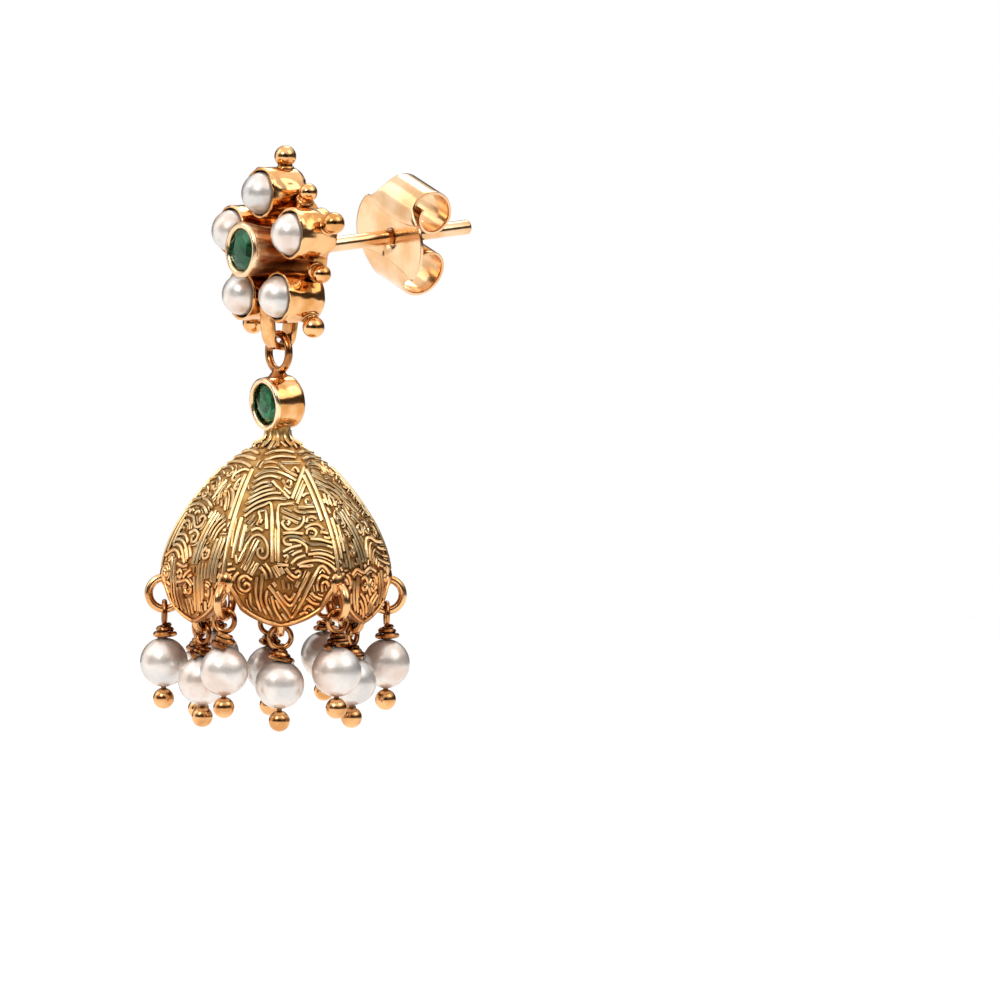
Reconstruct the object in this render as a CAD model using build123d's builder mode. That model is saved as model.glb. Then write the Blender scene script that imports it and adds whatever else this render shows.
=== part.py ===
from build123d import *
import os
from math import cos, radians, sin

# Jhumka earring: a pearl flower stud with its ear post, a butterfly clutch, and a domed
# bell with twelve pearl drops that hangs from the stud's bail.
# Millimetres. +Z is up, the flower faces -Y and the ear post runs towards +Y.
# The origin is where the post's axis meets the flower's flat back.

# Clearances between pieces that are set, threaded or hung
set_gap = 0.04
hang_gap = 0.04
# How far a cutting shape runs past what it cuts, and a soldered end into what it joins
cut_margin = 1.0
solder_depth = 0.05

# Flower: five petal cups round a taller centre cup
petal_count = 5
first_petal_deg = 90.0
petal_ring_r = 3.2
petal_cup_r = 1.45
petal_cup_depth = 2.4
centre_cup_r = 1.57
centre_cup_base_r = 1.32
centre_cup_depth = 3.7
centre_pocket_depth = 1.2
cup_wall = 0.17
cup_floor = 1.1
cup_back_round = 0.35
plate_r = 3.5
plate_t = 0.9
petal_pearl_rise = 1.0
stone_sides = 8
stone_table_ratio = 0.62
stone_crown = 0.25
stone_girdle = 0.12
centre_stone_below_girdle = 0.9

# Granules: one past each petal, one in each gap but the lowest, which holds the bail
bail_gap_deg = -90
granule_depth = 0.7
petal_granule_r = 0.62
petal_granule_ring_r = 5.27
gap_granule_r = 0.525
gap_granule_ring_r = 4.06
collar_r = 0.42
collar_length = 0.9

# Bail: a flat strip bent to a U, open along X
bail_y = -0.98
bail_width = 1.2
bail_t = 0.35
bail_inner_r = 0.5
bail_inner_bottom_z = -5.33
bail_top_half_span = 0.96
bail_top_z = -3.7
bail_block_top_z = -2.95
bail_block_width = 1.06

# Ear post
post_r = 0.425
post_length = 12.0
post_root = 0.5
post_rise_deg = 6.0
post_end_round = 0.15
post_foot_r = 0.68
post_foot_t = 0.25

# Butterfly clutch: place of its plate along the post, turn about the post, sheet sizes
clutch_at = 6.4
clutch_turn_deg = 20.0
sheet_t = 0.25
plate_half_width = 3.3
plate_half_height = 2.75
tail_width = 3.0
tail_slit = 0.12
tail_root_height = 0.95
fold_height = 1.645
scroll_radii = (1.46, 1.02, 0.65)
scroll_last_deg = 100.0
clutch_hole_r = 0.475
lip_r = 0.85
lip_height = 0.3
lip_taper_deg = 25
dimple_r = 0.33
dimple_rise = 0.14
dimple_below = 1.15

# Drop: top ring, round bezel tipped forwards, peg into the dome's neck
ring_centre_z = -5.8
ring_r = 1.025
ring_wire_r = 0.225
bezel_centre_z = -8.64
bezel_r = 1.53
bezel_depth = 1.94
bezel_tip_deg = 6.0
bezel_seat_r = 1.22
bezel_seat_depth = 0.9
drop_stone_inset = 0.12
drop_stone_below_girdle = 0.45
saddle_r = 0.5
saddle_bottom_z = -7.35
saddle_top_z = -6.85
saddle_taper_deg = 22
peg_r = 0.55
peg_into_bezel = 0.2
peg_bottom_z = -11.1

# Dome: a neck tube, then six slightly bowed panels that meet in ridges
neck_r = 0.75
neck_bore_r = 0.6
neck_top_z = -9.9
neck_bottom_z = -11.2
dome_top_z = -10.77
dome_wall = 0.4
panel_count = 6
# depth below dome_top_z, radius at the ridges, how far the panel bows out past a flat one
dome_sections = (
    (0.00, 0.85, 0.10),
    (0.80, 2.07, 0.16),
    (1.70, 3.21, 0.18),
    (3.07, 4.43, 0.20),
    (4.90, 5.63, 0.22),
    (6.70, 6.33, 0.22),
    (8.40, 6.46, 0.20),
    (10.60, 6.10, 0.16),
)
# shield tip of a panel: distance from its middle line, height
tip_at_ridge = (3.34, -18.45)
tip_side_mid = (2.74, -19.25)
tip_corner = (2.30, -20.00)
tip_edge_mid = (1.25, -20.62)
tip_point = (0.00, -21.00)
ridge_ring_r = 0.90
ridge_ring_wire_r = 0.235
ridge_ring_at = 6.3
ridge_ring_z = -19.5
tip_ring_r = 0.5
tip_ring_wire_r = 0.22
tip_ring_at = 4.86
tip_ring_z = -20.86

# Pearl drops: a head pin with a wrapped loop, a pearl, an end ball
pin_wire_r = 0.15
eye_r = 0.61
wrap_r = 0.55
wrap_turns = 3
pearl_r = 1.41
pearl_bore_r = 0.19
end_ball_r = 0.6
ridge_drop_pearl_z = -23.42
tip_drop_pearl_z = -24.22


def polar(radius, angle_deg):
    """Offsets of a point at a polar place."""
    return radius * cos(radians(angle_deg)), radius * sin(radians(angle_deg))


def petal_angle(index):
    """Direction of a petal, counted clockwise from the top one as seen from the front."""
    return first_petal_deg - index * 360 / petal_count


def setting_plane(x, z):
    """Half-section plane of a cup at (x, z): local x is its radius, local y runs forwards."""
    return Plane(origin=(x, 0, z), x_dir=(1, 0, 0), z_dir=(0, 0, -1))


def setting_axis(x, z):
    """Axis of a cup at (x, z), pointing forwards."""
    return Axis((x, 0, z), (0, -1, 0))


def cup(x, z, rim_r, base_r, depth, floor):
    """Adds a round cup with a rounded back edge and a straight pocket for its stone."""
    pocket_r = rim_r - cup_wall
    with BuildSketch(setting_plane(x, z)) as half_section:
        with BuildLine():
            Line((0, 0), (base_r - cup_back_round, 0))
            RadiusArc(
                (base_r - cup_back_round, 0), (base_r, cup_back_round), -cup_back_round
            )
            Polyline(
                (base_r, cup_back_round),
                (rim_r, depth),
                (pocket_r, depth),
                (pocket_r, floor),
                (0, floor),
                (0, 0),
            )
        make_face()
    revolve(half_section.sketch, axis=setting_axis(x, z))


def granule(angle_deg, ring_r, radius):
    """Adds a granule on a short collar at its polar place on the flower's edge."""
    outward = Vector(cos(radians(angle_deg)), 0, sin(radians(angle_deg)))
    centre = outward * ring_r - Vector(0, granule_depth, 0)
    with BuildSketch(Plane(origin=centre - outward * collar_length, z_dir=outward)) as collar:
        Circle(collar_r)
    extrude(collar.sketch, amount=collar_length)
    with Locations(centre):
        Sphere(radius)


def bail():
    """Adds the bail: a block between the lowest petals and a U of strip below it."""
    arc_centre = (0, bail_inner_bottom_z + bail_inner_r)
    outer_r = bail_inner_r + bail_t
    side_view = Plane(origin=(0, bail_y, 0), x_dir=(0, 1, 0), z_dir=(1, 0, 0))
    with BuildSketch(side_view) as strip:
        with BuildLine():
            Line((bail_top_half_span - bail_t, bail_top_z), (bail_inner_r, arc_centre[1]))
            CenterArc(arc_centre, bail_inner_r, 0, -90)
            Line((0, bail_inner_bottom_z), (0, bail_inner_bottom_z - bail_t))
            CenterArc(arc_centre, outer_r, -90, 90)
            Polyline(
                (outer_r, arc_centre[1]),
                (bail_top_half_span, bail_top_z),
                (bail_top_half_span - bail_t, bail_top_z),
            )
        make_face()
        mirror(about=Plane.YZ)
    extrude(strip.sketch, amount=bail_width / 2, both=True)
    block_height = bail_block_top_z - bail_top_z
    with Locations((0, bail_y, bail_top_z + block_height / 2)):
        Box(bail_block_width, 2 * bail_top_half_span, block_height)


post_axis = Vector(0, cos(radians(post_rise_deg)), sin(radians(post_rise_deg)))

with BuildPart() as stud_frame:
    with BuildSketch(Plane.XZ):
        Circle(plate_r)
    extrude(amount=plate_t)
    for i in range(petal_count):
        petal_x, petal_z = polar(petal_ring_r, petal_angle(i))
        cup(petal_x, petal_z, petal_cup_r, petal_cup_r, petal_cup_depth, cup_floor)
    centre_floor = centre_cup_depth - centre_pocket_depth
    cup(0, 0, centre_cup_r, centre_cup_base_r, centre_cup_depth, centre_floor)
    for i in range(petal_count):
        granule(petal_angle(i), petal_granule_ring_r, petal_granule_r)
    for i in range(petal_count):
        gap_deg = petal_angle(i) - 180 / petal_count
        if round(gap_deg) != bail_gap_deg:
            granule(gap_deg, gap_granule_ring_r, gap_granule_r)
    bail()
    with BuildSketch(Plane(origin=post_axis * -post_root, x_dir=(1, 0, 0), z_dir=post_axis)):
        Circle(post_r)
    extrude(amount=post_root + post_length)
    with BuildSketch(Plane.XZ):
        Circle(post_foot_r)
    extrude(amount=-post_foot_t)
    fillet(stud_frame.edges().sort_by(Axis.Y)[-1], post_end_round)
stud_frame.part.label = "stud_frame"


def half_pearl(x, z):
    """Adds a half pearl that stands in a petal cup and domes out past its rim."""
    radius = petal_cup_r - cup_wall - set_gap
    seat = cup_floor + set_gap
    top = petal_cup_depth + petal_pearl_rise
    dome_r = (radius**2 + petal_pearl_rise**2) / (2 * petal_pearl_rise)
    with BuildSketch(setting_plane(x, z)) as half_section:
        with BuildLine():
            Polyline((0, top), (0, seat), (radius, seat), (radius, petal_cup_depth))
            RadiusArc((radius, petal_cup_depth), (0, top), -dome_r)
        make_face()
    revolve(half_section.sketch, axis=setting_axis(x, z))


petal_pearls = []
for i in range(petal_count):
    with BuildPart() as petal_pearl:
        half_pearl(*polar(petal_ring_r, petal_angle(i)))
    petal_pearl.part.label = f"petal_pearl_{i + 1}"
    petal_pearls.append(petal_pearl.part)


def cut_stone(plane, radius, below_girdle):
    """Adds an eight sided cut stone: pavilion down to its seat, girdle, crown and table."""
    levels = (
        (-below_girdle - stone_girdle, radius * stone_table_ratio),
        (0, radius),
        (stone_girdle, radius),
        (stone_girdle + stone_crown, radius * stone_table_ratio),
    )
    for (low, low_r), (high, high_r) in zip(levels, levels[1:]):
        with BuildSketch(plane.offset(low)) as lower:
            RegularPolygon(low_r, stone_sides)
        with BuildSketch(plane.offset(high)) as upper:
            RegularPolygon(high_r, stone_sides)
        loft([lower.sketch, upper.sketch], ruled=True)


with BuildPart() as centre_emerald:
    stone_plane = Plane.XZ.offset(centre_cup_depth - stone_girdle)
    centre_stone_r = centre_cup_r - cup_wall - set_gap
    cut_stone(stone_plane, centre_stone_r, centre_stone_below_girdle)
centre_emerald.part.label = "centre_emerald"


# The clutch's plane: local x across the tails, local y between them, local z along the post.
clutch_x = Vector(cos(radians(clutch_turn_deg)), 0, -sin(radians(clutch_turn_deg)))
clutch_plane = Plane(
    origin=post_axis * clutch_at,
    x_dir=clutch_x - post_axis * clutch_x.dot(post_axis),
    z_dir=post_axis,
)


def tail(side):
    """Adds one tail of the clutch: it leaves the plate, rolls over and curls in on itself."""
    profile_plane = Plane(
        origin=clutch_plane.origin, x_dir=post_axis, z_dir=clutch_plane.x_dir * side
    )
    roll, second, third = scroll_radii
    middle = sheet_t / 2
    roll_end = middle + 2 * roll
    second_end = roll_end - 2 * second
    with BuildSketch(profile_plane) as profile:
        with BuildLine():
            Line((middle, tail_root_height), (middle, fold_height))
            CenterArc((middle + roll, fold_height), roll, 180, -180)
            CenterArc((roll_end - second, fold_height), second, 0, -180)
            CenterArc((second_end + third, fold_height), third, 180, -scroll_last_deg)
        trace(line_width=sheet_t)
    extrude(profile.sketch, amount=tail_width / 2, both=True)


with BuildPart() as clutch:
    with BuildSketch(clutch_plane):
        Ellipse(plate_half_width, plate_half_height)
        slit_height = plate_half_height - fold_height
        for side in (-1, 1):
            with Locations((0, side * (fold_height + slit_height / 2))):
                Rectangle(tail_width + 2 * tail_slit, slit_height, mode=Mode.SUBTRACT)
    extrude(amount=sheet_t)
    for side in (-1, 1):
        tail(side)
    with BuildSketch(clutch_plane.offset(sheet_t)):
        Circle(lip_r)
    extrude(amount=lip_height, taper=lip_taper_deg)
    with BuildSketch(clutch_plane):
        with Locations((0, dimple_below)):
            Circle(dimple_r)
    extrude(amount=-dimple_rise)
    with BuildSketch(clutch_plane.offset(-sheet_t)):
        Circle(clutch_hole_r)
    extrude(amount=3 * sheet_t + lip_height, mode=Mode.SUBTRACT)
clutch.part.label = "clutch"


tip_back = radians(bezel_tip_deg)
bezel_forward = Vector(0, -cos(tip_back), -sin(tip_back))
bezel_plane = Plane(
    origin=Vector(0, bail_y, bezel_centre_z) - bezel_forward * (bezel_depth / 2),
    x_dir=(1, 0, 0),
    z_dir=bezel_forward,
)
bezel_seat_plane = bezel_plane.offset(bezel_depth - bezel_seat_depth)

with BuildPart() as drop_bezel:
    with BuildSketch(bezel_plane):
        Circle(bezel_r)
    extrude(amount=bezel_depth)
    fillet(drop_bezel.faces().sort_by(Axis.Y)[-1].edges(), cup_back_round)
    with BuildSketch(bezel_seat_plane):
        Circle(bezel_seat_r)
    extrude(amount=bezel_seat_depth, mode=Mode.SUBTRACT)
    with Locations(Plane(origin=(0, bail_y, ring_centre_z), z_dir=(0, -1, 0))):
        Torus(ring_r, ring_wire_r)
    with BuildSketch(Plane.XY.offset(saddle_bottom_z)):
        with Locations((0, bail_y)):
            Circle(saddle_r)
    extrude(amount=saddle_top_z - saddle_bottom_z, taper=saddle_taper_deg)
    with BuildSketch(Plane.XY.offset(peg_bottom_z)):
        with Locations((0, bail_y)):
            Circle(peg_r)
    extrude(amount=bezel_centre_z - bezel_r + peg_into_bezel - peg_bottom_z)
drop_bezel.part.label = "drop_bezel"

with BuildPart() as drop_emerald:
    girdle_plane = bezel_plane.offset(bezel_depth - stone_girdle - drop_stone_inset)
    cut_stone(girdle_plane, bezel_seat_r - set_gap, drop_stone_below_girdle)
drop_emerald.part.label = "drop_emerald"


def panel_corner(radius, index):
    """A ridge point of the dome's section in the plane of that section."""
    return polar(radius, index * 360 / panel_count)


def dome_section(depth, ridge_r, bow):
    """Sketches one closed section of the dome: six bowed sides between the ridges."""
    flat_ratio = cos(radians(180 / panel_count))
    with BuildSketch(Plane(origin=(0, bail_y, dome_top_z - depth))) as section:
        with BuildLine():
            for i in range(panel_count):
                middle = polar(ridge_r * flat_ratio + bow, (i + 0.5) * 360 / panel_count)
                ThreePointArc(panel_corner(ridge_r, i), middle, panel_corner(ridge_r, i + 1))
        make_face()
    return section.sketch


def hollow_sections():
    """Sections of the hollow: one wall further in, starting one wall lower and ending below."""
    inset = dome_wall / cos(radians(180 / panel_count))
    first, *others = dome_sections
    rows = [(first[0] + dome_wall, first[1] - inset, first[2] / 2)]
    rows += [(depth, ridge_r - inset, bow) for depth, ridge_r, bow in others]
    return rows


def panel_trim(index):
    """Cuts a panel's lower edge to its shield shaped tip."""
    middle_deg = (index + 0.5) * 360 / panel_count
    outward = Vector(cos(radians(middle_deg)), sin(radians(middle_deg)), 0)
    sideways = Vector(-outward.Y, outward.X, 0)
    below = dome_top_z - dome_sections[-1][0] - cut_margin
    mirrored = [(-x, z) for x, z in (tip_at_ridge, tip_side_mid, tip_corner, tip_edge_mid)]
    panel_face = Plane(origin=(0, bail_y, 0), x_dir=sideways, z_dir=outward)
    with BuildSketch(panel_face) as outline:
        with BuildLine():
            ThreePointArc(tip_at_ridge, tip_side_mid, tip_corner)
            ThreePointArc(tip_corner, tip_edge_mid, tip_point)
            ThreePointArc(tip_point, mirrored[3], mirrored[2])
            ThreePointArc(mirrored[2], mirrored[1], mirrored[0])
            Polyline(
                mirrored[0],
                (mirrored[0][0], below),
                (tip_at_ridge[0], below),
                tip_at_ridge,
            )
        make_face()
    widest = max(ridge_r for _, ridge_r, _ in dome_sections)
    extrude(outline.sketch, amount=widest + cut_margin, mode=Mode.SUBTRACT)


def hanging_ring(angle_deg, at, z, radius, wire_r):
    """Adds a ring that stands in the upright plane through the dome's axis."""
    x, y = polar(at, angle_deg)
    across = Vector(-sin(radians(angle_deg)), cos(radians(angle_deg)), 0)
    with Locations(Plane(origin=(x, bail_y + y, z), z_dir=across)):
        Torus(radius, wire_r)


with BuildPart() as dome:
    loft([dome_section(*section) for section in dome_sections])
    loft([dome_section(*section) for section in hollow_sections()], mode=Mode.SUBTRACT)
    for i in range(panel_count):
        panel_trim(i)
    with BuildSketch(Plane.XY.offset(neck_bottom_z)):
        with Locations((0, bail_y)):
            Circle(neck_r)
    extrude(amount=neck_top_z - neck_bottom_z)
    with BuildSketch(Plane.XY.offset(neck_bottom_z)):
        with Locations((0, bail_y)):
            Circle(neck_bore_r)
    extrude(amount=neck_top_z - neck_bottom_z, mode=Mode.SUBTRACT)
    with BuildSketch(bezel_plane.offset(-cut_margin)):
        Circle(bezel_r + set_gap)
    extrude(amount=bezel_depth + 2 * cut_margin, mode=Mode.SUBTRACT)
    for i in range(panel_count):
        ridge_deg = i * 360 / panel_count
        hanging_ring(ridge_deg, ridge_ring_at, ridge_ring_z, ridge_ring_r, ridge_ring_wire_r)
        tip_deg = ridge_deg + 180 / panel_count
        hanging_ring(tip_deg, tip_ring_at, tip_ring_z, tip_ring_r, tip_ring_wire_r)
dome.part.label = "dome"


def head_pin(x, y, angle_deg, eye_z, pearl_z):
    """Adds a wrapped loop, its turns, the wire through the pearl and the end ball."""
    outward = Vector(cos(radians(angle_deg)), sin(radians(angle_deg)), 0)
    with Locations(Plane(origin=(x, y, eye_z), z_dir=outward)):
        Torus(eye_r, pin_wire_r)
    wrap_top = eye_z - eye_r - pin_wire_r + solder_depth
    pitch = (wrap_top - pearl_z - pearl_r - set_gap) / wrap_turns
    for turn in range(wrap_turns):
        with Locations((x, y, wrap_top - (turn + 0.5) * pitch)):
            Torus(wrap_r - pitch / 2, pitch / 2)
            Cylinder(wrap_r - pitch / 2, pitch)
    ball_z = pearl_z - pearl_r - set_gap - end_ball_r
    with BuildSketch(Plane(origin=(x, y, ball_z))) as wire:
        Circle(pin_wire_r)
    extrude(wire.sketch, amount=eye_z - eye_r - ball_z)
    with Locations((x, y, ball_z)):
        Sphere(end_ball_r)


def drop_pearl(x, y, pearl_z):
    """Adds a round pearl with its drilled hole."""
    with Locations((x, y, pearl_z)):
        Sphere(pearl_r)
        Cylinder(pearl_bore_r, 2 * (pearl_r + cut_margin), mode=Mode.SUBTRACT)


head_pins = []
drop_pearls = []
for i in range(2 * panel_count):
    at_ridge = i % 2 == 0
    drop_deg = i * 180 / panel_count
    drop_at = ridge_ring_at if at_ridge else tip_ring_at
    ring_z = ridge_ring_z if at_ridge else tip_ring_z
    ring_low = (ridge_ring_r - ridge_ring_wire_r) if at_ridge else (tip_ring_r - tip_ring_wire_r)
    pearl_z = ridge_drop_pearl_z if at_ridge else tip_drop_pearl_z
    drop_x, drop_y = polar(drop_at, drop_deg)
    eye_z = ring_z - ring_low + hang_gap - (eye_r - pin_wire_r)
    with BuildPart() as pin:
        head_pin(drop_x, bail_y + drop_y, drop_deg, eye_z, pearl_z)
    pin.part.label = f"head_pin_{i + 1:02d}"
    head_pins.append(pin.part)
    with BuildPart() as pearl:
        drop_pearl(drop_x, bail_y + drop_y, pearl_z)
    pearl.part.label = f"drop_pearl_{i + 1:02d}"
    drop_pearls.append(pearl.part)


os.makedirs("parts", exist_ok=True)
single_pieces = [
    stud_frame.part,
    centre_emerald.part,
    clutch.part,
    drop_bezel.part,
    drop_emerald.part,
    dome.part,
]
for piece in single_pieces + petal_pearls + head_pins + drop_pearls:
    export_step(piece, f"parts/{piece.label}.step")
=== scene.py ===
import random
from itertools import product
from math import atan2, cos, pi, radians, sin, sqrt

import bpy
from mathutils import Matrix, Quaternion, Vector


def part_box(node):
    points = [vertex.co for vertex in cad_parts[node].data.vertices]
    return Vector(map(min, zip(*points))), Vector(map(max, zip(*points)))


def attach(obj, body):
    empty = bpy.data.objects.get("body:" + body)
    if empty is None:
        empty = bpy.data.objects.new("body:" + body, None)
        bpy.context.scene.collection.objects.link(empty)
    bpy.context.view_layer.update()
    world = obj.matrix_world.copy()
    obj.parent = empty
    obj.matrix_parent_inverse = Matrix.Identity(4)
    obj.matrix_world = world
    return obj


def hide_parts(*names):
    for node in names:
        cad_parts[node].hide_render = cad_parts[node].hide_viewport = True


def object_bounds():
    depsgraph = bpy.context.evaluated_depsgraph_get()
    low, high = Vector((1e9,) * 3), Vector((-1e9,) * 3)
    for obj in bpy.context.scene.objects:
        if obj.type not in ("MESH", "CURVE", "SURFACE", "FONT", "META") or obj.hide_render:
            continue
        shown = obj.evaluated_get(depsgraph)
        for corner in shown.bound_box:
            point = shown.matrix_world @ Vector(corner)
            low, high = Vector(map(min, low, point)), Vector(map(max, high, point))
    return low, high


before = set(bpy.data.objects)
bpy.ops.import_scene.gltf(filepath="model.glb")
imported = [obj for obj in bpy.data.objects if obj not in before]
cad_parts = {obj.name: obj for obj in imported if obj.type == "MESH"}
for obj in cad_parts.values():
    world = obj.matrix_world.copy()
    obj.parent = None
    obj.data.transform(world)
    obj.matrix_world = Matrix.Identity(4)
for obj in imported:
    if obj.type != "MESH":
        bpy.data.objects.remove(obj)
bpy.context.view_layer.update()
mm = 0.001


# The view: a long lens at the wearer's front left, a little above the bell, so the flower is seen
# turned away and the clutch shows behind it. The earring stands left of the middle.
view_turn = radians(56.8)
view_lift = radians(3.1)
view_roll = radians(0.8)
view_distance = 400 * mm
view_lens_mm = 254.4
aim_beside = 12.62 * mm
aim_below = 3.52 * mm

box_low, box_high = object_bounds()
bell_low, bell_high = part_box("dome")
axis_y = (bell_low.y + bell_high.y) / 2
view_middle = Vector((0, axis_y, (box_low.z + box_high.z) / 2))
view_out = Vector(
    (sin(view_turn) * cos(view_lift), -cos(view_turn) * cos(view_lift), sin(view_lift))
)
view_right = Vector((cos(view_turn), sin(view_turn), 0))
view_up = view_out.cross(view_right)
view_place = view_middle + view_out * view_distance
view_aim = view_middle + view_right * aim_beside - view_up * aim_below

bpy.ops.object.camera_add(location=view_place)
camera = bpy.context.object
camera.name = "camera"
camera.rotation_mode = "QUATERNION"
camera.rotation_quaternion = (view_aim - view_place).to_track_quat("-Z", "Y") @ Quaternion(
    (0, 0, 1), view_roll
)
camera.data.lens = view_lens_mm
camera.data.clip_start = 10 * mm
camera.data.clip_end = 20
bpy.context.scene.camera = camera
bpy.context.scene.view_settings.view_transform = "Standard"


# The studio: a pale table well below the beads, a white tent lit from above and from the left,
# and dark gaps in the tent that give polished metal its dark edges.
floor_drop = 26 * mm
floor_size = 0.60

bpy.ops.mesh.primitive_plane_add(size=floor_size, location=(0, 0, box_low.z - floor_drop))
floor = bpy.context.object
floor.name = "table"
floor_material = bpy.data.materials.new("pale_table")
floor_material.use_nodes = True
floor_shader = floor_material.node_tree.nodes["Principled BSDF"]
floor_shader.inputs["Base Color"].default_value = (0.93, 0.93, 0.93, 1)
floor_shader.inputs["Roughness"].default_value = 0.9
floor.data.materials.append(floor_material)

world = bpy.data.worlds.new("tent")
bpy.context.scene.world = world
world.use_nodes = True
sky = world.node_tree
sky.nodes.clear()


def link(tree, source, target):
    """Joins an output socket to an input socket."""
    tree.links.new(source, target)


def settle(made, **values):
    """Sets up a node; values are its settings, or its inputs by name with spaces as _."""
    for name, value in values.items():
        if hasattr(made, name):
            setattr(made, name, value)
        else:
            made.inputs[name.replace("_", " ")].default_value = value


def node(tree, kind, **values):
    """Adds a node and sets it up."""
    made = tree.nodes.new(kind)
    settle(made, **values)
    return made


def ramp(tree, source, stops):
    """A colour ramp over source; stops are (place, colour) pairs."""
    made = tree.nodes.new("ShaderNodeValToRGB")
    elements = made.color_ramp.elements
    while len(elements) < len(stops):
        elements.new(0.5)
    for element, (place, colour) in zip(elements, stops):
        element.position = place
        element.color = (*colour, 1)
    link(tree, source, made.inputs["Fac"])
    return made.outputs["Color"]


def mixed(tree, share, first, second, blend="MIX"):
    """Mixes two colours; all three are sockets or plain values."""
    made = node(tree, "ShaderNodeMix", data_type="RGBA", blend_type=blend)
    for number, value in ((0, share), (6, first), (7, second)):
        if isinstance(value, bpy.types.NodeSocket):
            link(tree, value, made.inputs[number])
        else:
            made.inputs[number].default_value = value
    return made.outputs[2]


directions = node(sky, "ShaderNodeTexCoord")
split = node(sky, "ShaderNodeSeparateXYZ")
link(sky, directions.outputs["Generated"], split.inputs["Vector"])
height = node(sky, "ShaderNodeMapRange", From_Min=-1.0, From_Max=1.0)
link(sky, split.outputs["Z"], height.inputs["Value"])
tent_light = ramp(
    sky,
    height.outputs["Result"],
    (
        (0.00, (0.50, 0.50, 0.50)),
        (0.38, (0.80, 0.79, 0.78)),
        (0.48, (0.07, 0.06, 0.055)),
        (0.65, (0.05, 0.045, 0.04)),
        (0.72, (0.62, 0.61, 0.60)),
        (0.84, (1.05, 1.05, 1.05)),
        (0.92, (1.20, 1.20, 1.20)),
    ),
)
towards_lens = node(sky, "ShaderNodeVectorMath", operation="DOT_PRODUCT")
link(sky, directions.outputs["Generated"], towards_lens.inputs[0])
towards_lens.inputs[1].default_value = view_out
lens_gap = ramp(
    sky, towards_lens.outputs["Value"], ((0.85, (1, 1, 1)), (0.93, (0.06, 0.055, 0.05)))
)
tent = node(sky, "ShaderNodeBackground", Strength=1.0)
link(sky, mixed(sky, 1.0, tent_light, lens_gap, "MULTIPLY"), tent.inputs["Color"])
backdrop = node(sky, "ShaderNodeBackground", Color=(1, 1, 1, 1), Strength=1.0)
seen = node(sky, "ShaderNodeLightPath")
chosen = node(sky, "ShaderNodeMixShader")
link(sky, seen.outputs["Is Camera Ray"], chosen.inputs[0])
link(sky, tent.outputs[0], chosen.inputs[1])
link(sky, backdrop.outputs[0], chosen.inputs[2])
out = node(sky, "ShaderNodeOutputWorld")
link(sky, chosen.outputs[0], out.inputs["Surface"])

# square lights that face the earring: turn from the camera's side and lift in degrees, distance
# and size in metres, power in watts
for name, turn_deg, lift_deg, distance, size, power in (
    ("key_light", -34, 36, 0.45, 0.12, 0.50),
    ("side_light", 62, 42, 0.45, 0.26, 0.34),
    ("rear_light", 170, 50, 0.50, 0.20, 0.40),
    ("left_light", -104, 4, 0.45, 0.36, 0.40),
    ("upper_left_light", -96, 40, 0.45, 0.26, 0.24),
):
    turn = view_turn + radians(turn_deg)
    lift = radians(lift_deg)
    away = Vector((sin(turn) * cos(lift), -cos(turn) * cos(lift), sin(lift)))
    bpy.ops.object.light_add(type="AREA", location=view_middle + away * distance)
    lamp = bpy.context.object
    lamp.name = name
    lamp.rotation_mode = "QUATERNION"
    lamp.rotation_quaternion = (-away).to_track_quat("-Z", "Y")
    lamp.data.shape = "SQUARE"
    lamp.data.size = size
    lamp.data.energy = power


# The flower's flat back: a round gold disc that all the cups are soldered to. It is polished and
# its edge is rounded so that it lies softly against the ear.
random.seed(7)
back_r = 3.5 * mm
back_t = 0.9 * mm
back_round = 0.18 * mm
back_proud = 0.06 * mm
polish_warm = (0.68, 0.31, 0.09)
polish_pale = (0.90, 0.51, 0.23)
# the colour laid into corners by an occlusion test: tarnish, and painted shade
tarnish_and_shade = (0.10, 0.032, 0.006)
# painted shade: below a given height the colour is darkened and reddened by this tint, over this
# fade
low_shade_tint = (0.84, 0.58, 0.40)
low_shade_fade_mm = 1.5


def new_material(name):
    """A new material with its tree, its shader and a mapping of the piece in millimetres."""
    material = bpy.data.materials.new(name)
    material.use_nodes = True
    tree = material.node_tree
    place = node(tree, "ShaderNodeTexCoord")
    in_mm = node(tree, "ShaderNodeMapping", vector_type="POINT", Scale=(1 / mm, 1 / mm, 1 / mm))
    link(tree, place.outputs["Object"], in_mm.inputs["Vector"])
    return material, tree, tree.nodes["Principled BSDF"], in_mm


def noise(tree, mapping, **values):
    """Cloudy variation over the places that a mapping gives."""
    made = node(tree, "ShaderNodeTexNoise", **values)
    link(tree, mapping.outputs["Vector"], made.inputs["Vector"])
    return made.outputs["Fac"]


def bump(tree, height, depth):
    """A surface that stands up to that depth uneven."""
    made = node(tree, "ShaderNodeBump", Strength=1.0, Distance=depth)
    link(tree, height, made.inputs["Height"])
    return made.outputs["Normal"]


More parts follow.
